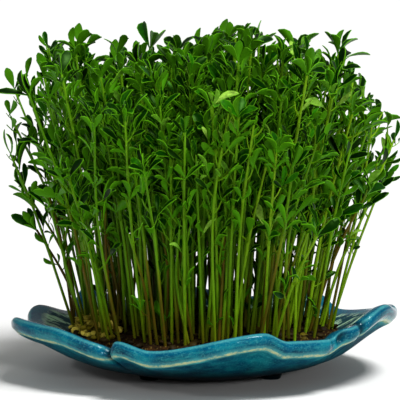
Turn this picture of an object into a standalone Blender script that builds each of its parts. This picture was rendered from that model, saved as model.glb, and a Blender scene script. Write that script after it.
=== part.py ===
"""Lentil sprouts standing in a pinched, blue-glazed dish.

The origin is under the middle of the object, on the surface that it stands on, and the front faces -Y.
Units are metres with +Z up. Sizes are written in millimetres, times MM.
"""

import math
import random
from dataclasses import dataclass

import bmesh
import bpy
import numpy as np
from mathutils import Matrix, Vector

MM = 0.001
UP = Vector((0, 0, 1))

# Dish: the rim's middle line before it is pinched into waves.
DISH_RADIUS = 118 * MM
RIM_HEIGHT = 36 * MM
DISH_STEPS = 72

# The dish's section, from the middle of the underside round the rim to the middle of the inside, as
# (radius, height). The clay's cut edge is the steep band between the two widest turns.
DISH_SECTION = (
    (0, 2),
    (44, 2),
    (76, 9.8),
    (108, 22.8),
    (114.3, 25.6),
    (118, 29.6),
    (118.4, 33.4),
    (116, 36),
    (110.5, 34.2),
    (86, 21.8),
    (62, 15.5),
    (0, 13),
)

# The rim's high and low points, anticlockwise from +X as seen from above: (degrees, reach, height).
RIM = (
    (38, 113, 29.5),
    (54, 119, 38),
    (76, 113, 31),
    (98, 119, 37),
    (116, 113, 30),
    (130, 119, 40),
    (140, 112, 28),
    (153, 120, 34),
    (172, 111, 30),
    (202, 124, 42),
    (218, 119, 41),
    (237, 113.5, 34),
    (243.5, 119, 38),
    (254, 117.5, 33),
    (288, 119, 43.5),
    (297, 116, 37),
    (311, 116, 35.5),
    (315, 112, 35),
    (320, 117, 40.5),
    (338, 121, 50),
    (355, 120.5, 43.5),
)
WAVE_STARTS = 87 * MM  # outside this radius the wall takes up the rim's waves
WAVE_FULL = 112 * MM

# Feet: three low studs under the dish.
FEET = ((-33, -24), (42, -22), (2, 46))
FOOT_RADIUS = 6.5 * MM
FOOT_HEIGHT = 4 * MM  # its upper half is inside the dish
FOOT_SIDES = 12

# Bed: the mat of soaked seeds, hulls and roots that the sprouts grow from.
BED_RADIUS = 84 * MM
BED_EDGE = 28 * MM
BED_CROWN = 32 * MM
BED_STEPS = 36
GAP = 0.3 * MM  # between two pieces that touch
CREASE = math.radians(24)  # turned surfaces are shaded smooth across gentler bends than this

# Seeds lying on the bed, lens-shaped as lentils are.
SEEDS = 26
SEED_RADIUS = 2.9 * MM
SEED_HALF_HEIGHT = 1.6 * MM
SEED_SIDES = 7

# Clumps: four sprouts each, grown together at a square root crown that sits in a hole in the bed.
CLUMPS = 34
CLUMP_CIRCLE = 76 * MM
CROWN_SIDE = 8.4 * MM
CROWN_DEPTH = 5 * MM
CROWN_SINK = 0.6 * MM
FOOT_SIDE = 2 * MM  # a stem's thickness where it leaves the crown
SEED_NUMBER = 23

# The stand's outer limits. Its furthest leaflets touch them on every side.
HALF_WIDTH = 125 * MM
HALF_DEPTH = 120 * MM
STAND_TOP = 222 * MM

# Stems. Each has a joint part of the way up and one at its top, where leaves grow.
TOP_JOINTS = 196 * MM  # height of most of the tallest stems' top joints
STEM_HEIGHTS = ((0.95, 1.0), (0.86, 1.0), (0.74, 0.96), (0.58, 0.86))  # shares, for a clump's four stems
TALLEST = {10: 1.05, 18: 1.02, 23: 1.03, 25: 1.04}  # shares for the first stems of a few clumps
EDGE_DROOP = 0.16  # share by which the outermost clumps' shorter stems are lower still
SPREAD = 1.4  # how much wider the stand is at the top than at the bed
PARTING = (1 * MM, 8 * MM)  # how far a clump's stems part from each other on the way up
STRAY = 3.5 * MM  # how much their tops stray besides
STEM_HALF = 0.85 * MM
STEM_TIP_HALF = 0.7 * MM
JOINT_LENGTH = 1.6 * MM

# Leaflets, and the stalks that hold some of them off the stem.
LEAF_LENGTHS = (13 * MM, 18 * MM)
LEAF_SHAPE = (0.34, 0.41)  # width over length
LEAF_ROLL = 0.9  # radians either way that a blade is turned about its own length
LEAF_KEEL = 0.9 * MM  # thickness along the middle of the blade
LEAF_TIP = 2.2 * MM  # width of the blunt end
WIDEST_AT = 0.52
ARCH = 0.07
DROOP = 0.04
STALK_HALF = 0.55 * MM
STALK_LENGTHS = (8 * MM, 15 * MM)
STALK_SHARE = 0.4  # of the stems that have a stalk at their lower joint

# Room kept round stems and leaflets, as balls of these radii with a gap between them.
BLADE_SPOTS = (  # (share of the length, share of the half width). The first three are near the stem
    (0.15, 0),
    (0.26, -0.4),
    (0.26, 0.4),
    (0.36, -0.4),
    (0.36, 0.4),
    (0.5, -1),
    (0.5, 0),
    (0.5, 1),
    (0.64, -0.8),
    (0.64, 0.8),
    (0.78, -0.7),
    (0.78, 0),
    (0.78, 0.7),
    (0.92, -0.4),
    (0.92, 0.4),
    (1, 0),
)
STEM_BALL = 1.4 * MM
LEAF_BALL = 0.9 * MM
CLEARANCE = 0.4 * MM


@dataclass
class Leaf:
    """A leaflet. Its tip is at root + line * length."""

    root: Vector
    out: Vector
    across: Vector
    upper: Vector
    length: float
    width: float

    @property
    def line(self):
        return self.out - self.upper * DROOP


@dataclass
class Stalk:
    root: Vector
    out: Vector
    across: Vector
    length: float
    leaves: list


@dataclass
class Joint:
    place: Vector
    up: Vector
    axes: tuple
    half: float
    leaves: list
    stalks: list


@dataclass
class Stem:
    foot: Vector
    joints: list


@dataclass
class Clump:
    centre: Vector
    turn: float
    stems: list


def empty_the_scene():
    for obj in list(bpy.data.objects):
        bpy.data.objects.remove(obj, do_unlink=True)


def collection(name, shown=True):
    made = bpy.data.collections.new(name)
    made.hide_render = not shown
    bpy.context.scene.collection.children.link(made)
    return made


def material(name, colour, roughness):
    """A plain non-metallic finish. The colour is linear red, green and blue."""
    made = bpy.data.materials.new(name)
    made.use_nodes = True
    shader = made.node_tree.nodes["Principled BSDF"]
    shader.inputs["Base Color"].default_value = (*colour, 1)
    shader.inputs["Roughness"].default_value = roughness
    shader.inputs["Metallic"].default_value = 0
    return made


def add_object(name, bm, finish, group):
    """An object of the bmesh, which is freed."""
    mesh = bpy.data.meshes.new(name)
    bm.to_mesh(mesh)
    bm.free()
    mesh.materials.append(finish)
    made = bpy.data.objects.new(name, mesh)
    if group is not bpy.context.scene.collection and group.hide_render:
        made.hide_render = True
        made.display_type = "WIRE"
    group.objects.link(made)
    return made


def turned(section, steps):
    """A solid turned about Z from a section of (radius, height) points in metres, as a bmesh."""
    bm = bmesh.new()
    points = [bm.verts.new((radius, 0, height)) for radius, height in section]
    edges = [bm.edges.new(pair) for pair in zip(points, points[1:])]
    bmesh.ops.spin(
        bm,
        geom=points + edges,
        cent=(0, 0, 0),
        axis=UP,
        angle=math.tau,
        steps=steps,
        use_merge=True,
    )
    bmesh.ops.remove_doubles(bm, verts=bm.verts, dist=0.01 * MM)
    bmesh.ops.recalc_face_normals(bm, faces=bm.faces)
    for face in bm.faces:
        face.smooth = True
    for edge in bm.edges:
        edge.smooth = edge.calc_face_angle() < CREASE
    return bm


def combine(obj, operation, others):
    """Applies one Boolean with every object of a collection, and removes them."""
    boolean = obj.modifiers.new(operation.title(), "BOOLEAN")
    boolean.operation = operation
    boolean.operand_type = "COLLECTION"
    boolean.collection = others
    boolean.solver = "EXACT"
    bpy.context.view_layer.update()
    graph = bpy.context.evaluated_depsgraph_get()
    mesh = bpy.data.meshes.new_from_object(obj.evaluated_get(graph))
    obj.modifiers.clear()
    obj.data = mesh
    for other in list(others.objects):
        bpy.data.objects.remove(other, do_unlink=True)


# --- Dish ---------------------------------------------------------------------------------------------


def smooth(share):
    """0 to 1 with a level start and end."""
    share = min(max(share, 0), 1)
    return share * share * (3 - 2 * share)


def rim_at(degrees):
    """(reach, height) of the rim in metres, eased from each high or low point to the next."""
    degrees = (degrees - RIM[0][0]) % 360 + RIM[0][0]
    points = [*RIM, (RIM[0][0] + 360, *RIM[0][1:])]
    for (start, *low), (end, *high) in zip(points, points[1:]):
        if degrees <= end:
            share = smooth((degrees - start) / (end - start))
            return [(a + (b - a) * share) * MM for a, b in zip(low, high)]


def pinch(bm):
    """Waves the wall up and down, in and out, more and more from WAVE_STARTS to the rim."""
    for vertex in bm.verts:
        x, y, z = vertex.co
        weight = smooth((math.hypot(x, y) - WAVE_STARTS) / (WAVE_FULL - WAVE_STARTS))
        reach, height = rim_at(math.degrees(math.atan2(y, x)))
        stretch = 1 + weight * (reach / DISH_RADIUS - 1)
        vertex.co = (x * stretch, y * stretch, z + weight * (height - RIM_HEIGHT))


def make_dish(finish, group):
    bm = turned([(radius * MM, height * MM) for radius, height in DISH_SECTION], DISH_STEPS)
    pinch(bm)
    dish = add_object("dish", bm, finish, group)
    feet = collection("feet", shown=False)
    for x, y in FEET:
        bm = bmesh.new()
        bmesh.ops.create_cone(
            bm,
            cap_ends=True,
            segments=FOOT_SIDES,
            radius1=FOOT_RADIUS * 0.9,
            radius2=FOOT_RADIUS * 1.1,
            depth=FOOT_HEIGHT,
            matrix=Matrix.Translation((x * MM, y * MM, FOOT_HEIGHT / 2)),
        )
        add_object("foot", bm, finish, feet)
    combine(dish, "UNION", feet)


# --- Bed ----------------------------------------------------------------------------------------------


def dish_inside(radius):
    """Height of the dish's inner surface under the bed, from its section."""
    inner = [(r * MM, z * MM) for r, z in reversed(DISH_SECTION[-3:])]
    return float(np.interp(radius, [r for r, _ in inner], [z for _, z in inner]))


def bed_top(radius):
    """Height of the bed's gently domed top."""
    return BED_CROWN - (BED_CROWN - BED_EDGE) * (radius / BED_RADIUS) ** 2


def bed_section():
    edge_floor = dish_inside(BED_RADIUS) + GAP
    section = [(radius, dish_inside(radius) + GAP) for radius in (0, 62 * MM)]
    section += [(BED_RADIUS - GAP, edge_floor), (BED_RADIUS, (edge_floor + BED_EDGE) / 2)]
    return section + [(share * BED_RADIUS, bed_top(share * BED_RADIUS)) for share in (0.975, 0.8, 0.45, 0)]


def make_bed(clumps, finish, group):
    bed = add_object("seed_bed", turned(bed_section(), BED_STEPS), finish, group)
    holes = collection("holes", shown=False)
    side = CROWN_SIDE + 2 * GAP
    for clump in clumps:
        low = clump.centre.z - CROWN_DEPTH - GAP
        height = BED_CROWN + CROWN_DEPTH - low
        middle = Matrix.Translation((clump.centre.x, clump.centre.y, low + height / 2))
        size = Matrix.Diagonal((side, side, height, 1))
        bm = bmesh.new()
        bmesh.ops.create_cube(bm, size=1, matrix=middle @ Matrix.Rotation(clump.turn, 4, "Z") @ size)
        add_object("hole", bm, finish, holes)
    combine(bed, "DIFFERENCE", holes)
    seeds = collection("seeds", shown=False)
    for place in seed_places(clumps):
        bm = bmesh.new()
        bmesh.ops.create_uvsphere(bm, u_segments=SEED_SIDES, v_segments=2, radius=1, matrix=place)
        add_object("seed", bm, finish, seeds)
    combine(bed, "UNION", seeds)


def seed_places(clumps):
    """A matrix for each lens-shaped seed, sunk by a third in the bed's top between the clumps."""
    draw = random.Random(SEED_NUMBER)
    spots = []
    places = []
    while len(spots) < SEEDS:
        angle = draw.uniform(0, math.tau)
        radius = BED_RADIUS * math.sqrt(draw.uniform(0.1, 0.85))
        spot = Vector((radius * math.cos(angle), radius * math.sin(angle), 0))
        room = [(clump.centre - spot).xy.length - 0.75 * CROWN_SIDE - SEED_RADIUS for clump in clumps]
        room += [(other - spot).length - 2.2 * SEED_RADIUS for other in spots]
        if min(room) < 0:
            continue
        spots.append(spot)
        tilt = Matrix.Rotation(draw.uniform(-0.25, 0.25), 4, "X") @ Matrix.Rotation(angle, 4, "Z")
        sunk = Matrix.Translation((spot.x, spot.y, bed_top(radius) + SEED_HALF_HEIGHT / 3))
        places.append(sunk @ tilt @ Matrix.Diagonal((SEED_RADIUS, SEED_RADIUS, SEED_HALF_HEIGHT, 1)))
    return places


# --- Where the sprouts grow ---------------------------------------------------------------------------


class Crowd:
    """The room already taken, as balls along every stem and over every leaflet."""

    REACH = 24 * MM

    def __init__(self):
        self.balls = np.zeros((40000, 5))
        self.count = 0
        self.stem = 0  # the number of the stem being placed, which each ball keeps

    def add(self, points, radius):
        rows = self.balls[self.count : self.count + len(points)]
        rows[:, :3] = points
        rows[:, 3] = radius
        rows[:, 4] = self.stem
        self.count += len(points)

    def has_room(self, points, radius, near=0):
        """True if balls of this radius stay clear. The first few, near the stem, may meet that stem's."""
        if near and not self.is_clear(np.array(points[:near]), radius, self.stem):
            return False
        rest = points[near:]
        return all(self.is_clear(np.array(rest[i : i + 6]), radius) for i in range(0, len(rest), 6))

    def is_clear(self, points, radius, stem=-1):
        taken = self.balls[: self.count]
        taken = taken[taken[:, 4] != stem]
        taken = taken[np.abs(taken[:, :3] - points[0]).max(axis=1) < self.REACH]
        if not len(taken):
            return True
        gaps = np.linalg.norm(points[:, None] - taken[None, :, :3], axis=2) - taken[:, 3] - radius
        return bool(gaps.min() > CLEARANCE)


def points_between(start, end, step=2.5 * MM):
    count = max(2, round((end - start).length / step))
    return [tuple(start.lerp(end, i / (count - 1))) for i in range(count)]


def inside_limits(points):
    """True if the points are inside the stand's outer limits by a little more than a blade's thickness."""
    furthest = np.abs(points).max(axis=0) + (1.5 * MM, 1.5 * MM, 0)
    return bool((furthest < (HALF_WIDTH, HALF_DEPTH, STAND_TOP)).all())


def clump_spots(draw):
    """Evenly spread places on the bed, as in a sunflower's head, each with a turn."""
    golden = math.pi * (3 - math.sqrt(5))
    for number in range(CLUMPS):
        radius = CLUMP_CIRCLE * math.sqrt((number + 0.4) / CLUMPS)
        angle = number * golden
        spot = Vector((radius * math.cos(angle), radius * math.sin(angle), 0))
        spot.z = bed_top(radius) - CROWN_SINK
        yield spot, draw.uniform(0, math.pi / 2)


def axes_round(direction, turn):
    """Two axes square to a direction and to each other, turned about it."""
    first = Vector((math.cos(turn), math.sin(turn), 0))
    first = (first - direction * first.dot(direction)).normalized()
    return first, direction.cross(first)


def plan_line(number, spot, turn, quarter, draw, crowd):
    """A stem's foot, the place of its lower joint, and the place of its top joint."""
    corner = Matrix.Rotation(turn + quarter * math.pi / 2, 3, "Z") @ Vector((1, 1, 0))
    foot = spot + corner * (CROWN_SIDE - FOOT_SIDE) / 2
    edge = spot.xy.length / CLUMP_CIRCLE
    for attempt in range(200):
        height = draw.uniform(*STEM_HEIGHTS[quarter]) * (1 - EDGE_DROOP * edge**4 * quarter / 3)
        if quarter == 0:
            height = TALLEST.get(number, height)
        fan = foot.xy * SPREAD + corner.xy * draw.uniform(*PARTING)
        top = Vector((draw.gauss(fan.x, STRAY), draw.gauss(fan.y, STRAY), TOP_JOINTS * height))
        share = draw.uniform(0.5, 0.72)
        bow = share**1.35
        middle = Vector((*foot.xy.lerp(top.xy, bow), foot.z + (top.z - foot.z) * share))
        points = points_between(foot, middle) + points_between(middle, top)
        if crowd.has_room(points, STEM_BALL):
            break
    crowd.add(points, STEM_BALL)
    return foot, middle, top


def blade_points(leaf):
    """Points over a leaflet's blade, past the part that is near its own stem."""
    points = []
    for share, side in BLADE_SPOTS:
        lift = leaf.upper * leaf.length * ARCH * (1 - abs(share - WIDEST_AT) / WIDEST_AT)
        place = leaf.root + leaf.line * leaf.length * share + lift
        points.append(tuple(place + leaf.across * leaf.width / 2 * side))
    return points


def plan_leaf(root, out, across, upper, shrink, draw, crowd):
    """A list with one leaflet that keeps clear of everything placed so far, or an empty list."""
    for attempt in range(5):
        length = draw.uniform(*LEAF_LENGTHS) * shrink
        roll = Matrix.Rotation(draw.uniform(-LEAF_ROLL, LEAF_ROLL), 3, out)
        leaf = Leaf(root, out, roll @ across, roll @ upper, length, length * draw.uniform(*LEAF_SHAPE))
        points = blade_points(leaf)
        if inside_limits(points) and crowd.has_room(points, LEAF_BALL, near=3):
            crowd.add(points, LEAF_BALL)
            return [leaf]
    return []


def leaves_round(centre, up, axes, sides, angles, shrink, draw, crowd):
    """Leaflets from some of a joint's four sides, each leaning out from the stem by an angle."""
    leaves = []
    for side in sides:
        face = axes[side % 2] * (1 if side < 2 else -1)
        for attempt in range(4):
            angle = draw.uniform(*angles)
            face = Matrix.Rotation(draw.uniform(-0.2, 0.2), 3, up) @ face
            out = face * math.sin(angle) + up * math.cos(angle)
            upper = up * math.sin(angle) - face * math.cos(angle)
            made = plan_leaf(centre, out, out.cross(upper), upper, shrink, draw, crowd)
            if made:
                leaves += made
                break
    return leaves


def plan_stalk(centre, up, axes, side, draw, crowd):
    """A list with one stalk that holds a pair of leaflets and one at the end, or an empty list."""
    face = axes[side % 2] * (1 if side < 2 else -1)
    for attempt in range(6):
        angle = draw.uniform(0.55, 1.05)
        out = face * math.sin(angle) + up * math.cos(angle)
        upper = up * math.sin(angle) - face * math.cos(angle)
        across = out.cross(upper)
        length = draw.uniform(*STALK_LENGTHS)
        root = centre + out * (length + JOINT_LENGTH / 2)
        points = points_between(centre + out * 2 * MM, root, 1.5 * MM)
        if not (inside_limits(points) and crowd.has_room(points, LEAF_BALL, near=3)):
            continue
        leaves = plan_leaf(root, out, across, upper, 0.95, draw, crowd)
        for sign in (-1, 1):
            spread = draw.uniform(0.7, 1.15)
            aside = across * sign * math.sin(spread) + out * math.cos(spread)
            leaves += plan_leaf(root, aside, aside.cross(upper), upper, 0.9, draw, crowd)
        if leaves:
            crowd.add(points, LEAF_BALL)
            return [Stalk(centre, out, across, length, leaves)]
    return []


def plan_joints(foot, middle, top, turn, draw, crowd):
    """The leaves at a stem's two joints."""
    up = (middle - foot).normalized()
    axes = axes_round(up, turn + draw.uniform(-0.7, 0.7))
    centre = middle + up * JOINT_LENGTH / 2
    side = draw.randrange(4)
    stalks = []
    sides = [side, (side + 2) % 4]
    if draw.random() < STALK_SHARE:
        stalks = plan_stalk(centre, up, axes, side, draw, crowd)
        sides = sides[len(stalks) :]
    leaves = leaves_round(centre, up, axes, sides, (0.6, 1.1), 0.9, draw, crowd)
    low = Joint(middle, up, axes, STEM_HALF, leaves, stalks)
    up = (top - middle).normalized()
    axes = axes_round(up, turn + draw.uniform(-0.7, 0.7))
    centre = top + up * JOINT_LENGTH / 2
    side = draw.randrange(4)
    sides = [side, (side + 2) % 4, (side + 1) % 4]
    leaves = leaves_round(centre, up, axes, sides, (0.55, 1.25), 1, draw, crowd)
    leaves += plan_leaf(centre, up, axes[0], axes[1], 1, draw, crowd)
    return [low, Joint(top, up, axes, STEM_TIP_HALF, leaves, [])]


def all_leaves(clumps):
    for clump in clumps:
        for stem in clump.stems:
            for joint in stem.joints:
                yield from joint.leaves
                for stalk in joint.stalks:
                    yield from stalk.leaves


def stretch_outermost(leaves, side, limit):
    """Stretches the leaflet that reaches furthest to one side until it touches the limit."""

    def spare(leaf):
        blunt_end = abs(leaf.across.dot(side)) * LEAF_TIP / 2
        return limit - leaf.root.dot(side) - blunt_end

    outward = [leaf for leaf in leaves if leaf.line.dot(side) > 0.75]
    leaf = min(outward, key=lambda leaf: spare(leaf) - leaf.line.dot(side) * leaf.length)
    leaf.length = spare(leaf) / leaf.line.dot(side)


def plan_stand():
    """Where every clump, stem and leaflet goes, all clear of each other."""
    draw = random.Random(SEED_NUMBER)
    crowd = Crowd()
    spots = list(clump_spots(draw))
    lines = []
    for number, (spot, turn) in enumerate(spots):
        for quarter in range(4):
            crowd.stem = len(lines)
            lines.append(plan_line(number, spot, turn, quarter, draw, crowd))
    clumps = [Clump(spot, turn, []) for spot, turn in spots]
    for crowd.stem, line in enumerate(lines):
        clump = clumps[crowd.stem // 4]
        clump.stems.append(Stem(line[0], plan_joints(*line, clump.turn, draw, crowd)))
    leaves = list(all_leaves(clumps))
    for side, limit in ((0, HALF_WIDTH), (1, HALF_DEPTH)):
        for sign in (1, -1):
            direction = Vector((0, 0, 0))
            direction[side] = sign
            stretch_outermost(leaves, direction, limit)
    return clumps


# --- Growing the clumps -------------------------------------------------------------------------------


def grow(bm, face, centre, axes, halves):
    """Extrudes a four-sided face to a rectangle, with as little twist as can be. Returns the end face."""
    middle = face.calc_center_median()
    end = bmesh.ops.extrude_discrete_faces(bm, faces=[face])["faces"][0]
    corners = [loop.vert for loop in end.loops]
    square = [axes[0] * x + axes[1] * y for x, y in ((1, 1), (-1, 1), (-1, -1), (1, -1))]
    turns = [square[i:] + square[:i] for i in range(4)]
    turns += [turn[::-1] for turn in turns]

    def agreement(turn):
        return sum((corner.co - middle).dot(place) for corner, place in zip(corners, turn))

    for corner, place in zip(corners, max(turns, key=agreement)):
        x = math.copysign(halves[0], place.dot(axes[0]))
        y = math.copysign(halves[1], place.dot(axes[1]))
        corner.co = centre + axes[0] * x + axes[1] * y
    return end


def side_facing(end, direction):
    """The side of the last extrusion that faces a direction."""
    sides = [face for edge in end.edges for face in edge.link_faces if face is not end]
    middle = sum((face.calc_center_median() for face in sides), Vector()) / len(sides)
    return max(sides, key=lambda face: (face.calc_center_median() - middle).dot(direction))


def grow_leaf(bm, face, leaf):
    """A leaflet out of a face: to its widest line, with a keel under it, then to a blunt thin end."""
    axes = (leaf.across, leaf.upper)
    middle = leaf.root + leaf.out * leaf.length * WIDEST_AT + leaf.upper * leaf.length * ARCH
    end = grow(bm, face, middle, axes, (leaf.width / 2, LEAF_KEEL / 2))
    below = [corner for corner in end.verts if (corner.co - middle).dot(leaf.upper) < 0]
    edges = [corner for corner in end.verts if corner not in below]
    for corner in edges:
        corner.co -= leaf.upper * LEAF_KEEL / 2
    bmesh.ops.pointmerge(bm, verts=below, merge_co=middle - leaf.upper * LEAF_KEEL)
    shared = [face for face in edges[0].link_faces if edges[1] in face.verts]
    cap = min(shared, key=lambda face: len(face.verts))
    tip = leaf.root + leaf.line * leaf.length
    cap = bmesh.ops.extrude_discrete_faces(bm, faces=[cap])["faces"][0]
    keel = min(cap.verts, key=lambda corner: (corner.co - middle).dot(leaf.upper))
    ends = [corner for corner in cap.verts if corner is not keel]
    for corner in ends:
        side = math.copysign(LEAF_TIP / 2, (corner.co - middle).dot(leaf.across))
        corner.co = tip + leaf.across * side
    bmesh.ops.pointmerge(bm, verts=[ends[0], keel], merge_co=ends[0].co)


def grow_stalk(bm, face, stalk):
    """A stalk out of a stem's side, its short joint, and the leaflets that grow from that."""
    axes = (stalk.across, stalk.across.cross(stalk.out))
    halves = (STALK_HALF, STALK_HALF)
    end = grow(bm, face, stalk.root + stalk.out * stalk.length, axes, halves)
    end = grow(bm, end, stalk.root + stalk.out * (stalk.length + JOINT_LENGTH), axes, halves)
    for leaf in stalk.leaves[::-1]:
        aside = leaf.out.dot(stalk.across)
        grow_leaf(bm, side_facing(end, stalk.across * aside) if abs(aside) > 0.1 else end, leaf)


def grow_joint(bm, face, joint):
    """A stem's next length up to a joint, the joint, and its leaves. Returns the joint's end face."""
    halves = (joint.half, joint.half)
    face = grow(bm, face, joint.place, joint.axes, halves)
    face = grow(bm, face, joint.place + joint.up * JOINT_LENGTH, joint.axes, halves)
    for shoot in joint.stalks + joint.leaves:
        level = shoot.out - joint.up * shoot.out.dot(joint.up)
        root = side_facing(face, level) if level.length > 0.1 else face
        if isinstance(shoot, Stalk):
            grow_stalk(bm, root, shoot)
        else:
            grow_leaf(bm, root, shoot)
    return face


def make_crown(bm, clump):
    """A square block whose top is cut into nine. The stems grow from the four corner squares."""
    bmesh.ops.create_cube(bm, size=CROWN_SIDE)
    top = [edge for edge in bm.edges if min(vertex.co.z for vertex in edge.verts) > 0]
    bmesh.ops.subdivide_edges(bm, edges=top, cuts=2, use_grid_fill=True)
    for vertex in bm.verts:
        for axis in (0, 1):
            if abs(vertex.co[axis]) < CROWN_SIDE / 4:
                vertex.co[axis] = math.copysign(CROWN_SIDE / 2 - FOOT_SIDE, vertex.co[axis])
        vertex.co.z = 0 if vertex.co.z > 0 else -CROWN_DEPTH
    place = Matrix.Translation(clump.centre) @ Matrix.Rotation(clump.turn, 4, "Z")
    bmesh.ops.transform(bm, matrix=place, verts=bm.verts)


def make_clump(name, clump, finish, group):
    """Four sprouts from one root crown, grown out of its top by extrusion."""
    bm = bmesh.new()
    make_crown(bm, clump)
    tops = [face for face in bm.faces if face.normal.z > 0.9]
    for stem in clump.stems:
        face = min(tops, key=lambda top: (top.calc_center_median() - stem.foot).length)
        tops.remove(face)
        for joint in stem.joints:
            face = grow_joint(bm, face, joint)
    return add_object(name, bm, finish, group)


def main():
    empty_the_scene()
    group = collection("lentil_sprout_tray")
    glaze = material("turquoise_glaze", (0.004, 0.12, 0.21), 0.2)
    mat = material("seed_mat", (0.11, 0.06, 0.02), 0.9)
    green = material("sprout_green", (0.04, 0.14, 0.005), 0.5)
    clumps = plan_stand()
    make_dish(glaze, group)
    make_bed(clumps, mat, group)
    for number, clump in enumerate(clumps, 1):
        make_clump(f"sprout_clump_{number:02}", clump, green, group)


main()
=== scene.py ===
# %% [markdown]
# # Lentil sprouts in a pinched, blue-glazed dish
#
# For spring tables, lentils are soaked, spread on a shallow dish and kept damp. After two weeks they are a
# small standing hedge: hundreds of thin stems, each with a few sprays of narrow leaflets. This lesson dresses
# a plain solid model of such a dish. The solids give the sizes and the places. Each visible piece is made again
# here in more detail, and gets a finish of nodes.
#
# The order is: units and helpers, the dish, the bed, the sprouts, and then the studio.

import math
import random
from collections import defaultdict
from dataclasses import dataclass

import bmesh
import bpy
import numpy as np
from mathutils import Matrix, Vector, geometry, noise


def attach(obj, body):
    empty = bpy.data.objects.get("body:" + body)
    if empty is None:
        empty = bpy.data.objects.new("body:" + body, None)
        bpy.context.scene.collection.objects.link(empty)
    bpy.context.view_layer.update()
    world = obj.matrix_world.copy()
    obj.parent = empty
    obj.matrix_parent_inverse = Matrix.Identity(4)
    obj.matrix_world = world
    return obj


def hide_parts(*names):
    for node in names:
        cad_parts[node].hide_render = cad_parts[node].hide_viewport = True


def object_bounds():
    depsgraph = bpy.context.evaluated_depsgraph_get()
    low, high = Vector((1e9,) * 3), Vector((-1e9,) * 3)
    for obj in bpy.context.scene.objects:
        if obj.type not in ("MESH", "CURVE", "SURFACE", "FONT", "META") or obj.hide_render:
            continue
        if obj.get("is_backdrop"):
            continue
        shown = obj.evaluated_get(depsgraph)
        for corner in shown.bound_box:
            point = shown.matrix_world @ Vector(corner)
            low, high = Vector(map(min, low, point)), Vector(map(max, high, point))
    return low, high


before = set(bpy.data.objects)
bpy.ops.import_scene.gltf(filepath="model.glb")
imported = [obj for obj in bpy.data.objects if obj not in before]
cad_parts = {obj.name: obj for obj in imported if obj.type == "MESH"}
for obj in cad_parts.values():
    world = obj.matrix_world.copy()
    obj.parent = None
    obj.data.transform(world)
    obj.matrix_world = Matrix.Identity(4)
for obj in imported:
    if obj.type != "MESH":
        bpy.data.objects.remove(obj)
cad_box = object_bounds()

MM = 0.001  # every size below is in millimetres, times MM
UP = Vector((0, 0, 1))
print("solids:", len(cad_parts), "box in mm:", [round(side / MM) for side in cad_box[1] - cad_box[0]])

# %% [markdown]
# ## Helpers for meshes and finishes
#
# A bmesh is Blender's editable mesh. Each piece is worked up in one, and then becomes an object at the origin, so
# that a pattern on Object coordinates stays where it is put. Finishes are node trees. Colours are easiest to pick
# as the hex values of a paint chart, but a shader wants linear light, so one function turns them. Most finishes
# are one colour with others laid over it in places, as a painter builds one up, and a loop does that.


# %% From bmesh to object
def to_mesh(bm, name):
    """The bmesh as a mesh of its own, and the bmesh freed."""
    mesh = bpy.data.meshes.new(name)
    bm.to_mesh(mesh)
    bm.free()
    return mesh


def add_object(name, data):
    """An object in the scene for a mesh, a lamp or a camera."""
    made = bpy.data.objects.new(name, data)
    bpy.context.scene.collection.objects.link(made)
    return made


def add_piece(name, bm, finishes, replaced=()):
    """An object made of the bmesh, riding on the model's only body."""
    piece = add_object(name, to_mesh(bm, name))
    for finish in finishes:
        piece.data.materials.append(finish)
    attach(piece, "root")
    if replaced:
        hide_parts(*replaced)
    return piece


def smooth_shade(bm, crease=math.radians(40)):
    """Shades a bmesh smooth, apart from edges that bend more sharply than the crease angle."""
    for face in bm.faces:
        face.smooth = True
    for edge in bm.edges:
        edge.smooth = len(edge.link_faces) == 2 and edge.calc_face_angle() < crease


# %% Colours and nodes
def linear(chart):
    """An sRGB hex colour as linear red, green, blue and alpha."""
    parts = [int(chart[i : i + 2], 16) / 255 for i in (1, 3, 5)]
    return (*[part / 12.92 if part < 0.0405 else ((part + 0.055) / 1.055) ** 2.4 for part in parts], 1)


def set_inputs(node, inputs):
    """Sets a node's inputs to values. An output of another node is linked instead."""
    for name, value in inputs.items():
        if isinstance(value, bpy.types.NodeSocket):
            node.id_data.links.new(value, node.inputs[name])
        else:
            node.inputs[name].default_value = value


def add_node(tree, kind, inputs=None, stops=(), **settings):
    """Adds a node, with its settings, its inputs, and a ramp's (place, colour) stops: first, last and the others."""
    made = tree.nodes.new("ShaderNode" + kind)
    for name, value in settings.items():
        setattr(made, name, value)
    set_inputs(made, inputs or {})
    for number, (place, chart) in enumerate(stops):
        ramp = made.color_ramp.elements
        stop = ramp[number] if number < 2 else ramp.new(place)
        stop.position = place
        stop.color = linear(chart)
    return made


MIX_A, MIX_B, MIX_OUT = 6, 7, 2  # the colour sockets of a Mix node


def lay_over(tree, colour, layers):
    """Lays colours over a colour in places, and gives the last one.

    A layer is (value, none, full, share, colour). It doesn't show where the value is at none, and shows by its
    share where the value is at full. A value after the colour keeps it to places of its own."""
    for value, none, full, share, chart, *kept_to in layers:
        cover = add_node(tree, "MapRange", {"Value": value, "From Min": none, "From Max": full, "To Max": share})
        for other in kept_to:
            cover = add_node(tree, "Math", {0: cover.outputs[0], 1: other}, operation="MULTIPLY")
        both = {0: cover.outputs[0], MIX_A: colour, MIX_B: linear(chart)}
        colour = add_node(tree, "Mix", both, data_type="RGBA").outputs[MIX_OUT]
    return colour


def new_finish(name):
    """A material with a Principled shader, as (material, node tree, shader, Object coordinates)."""
    finish = bpy.data.materials.new(name)
    finish.use_nodes = True
    tree = finish.node_tree
    place = add_node(tree, "TexCoord").outputs["Object"]
    return finish, tree, tree.nodes["Principled BSDF"], place


print("white is", linear("#FFFFFF"), "and middle grey is", [round(x, 3) for x in linear("#808080")])

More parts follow.
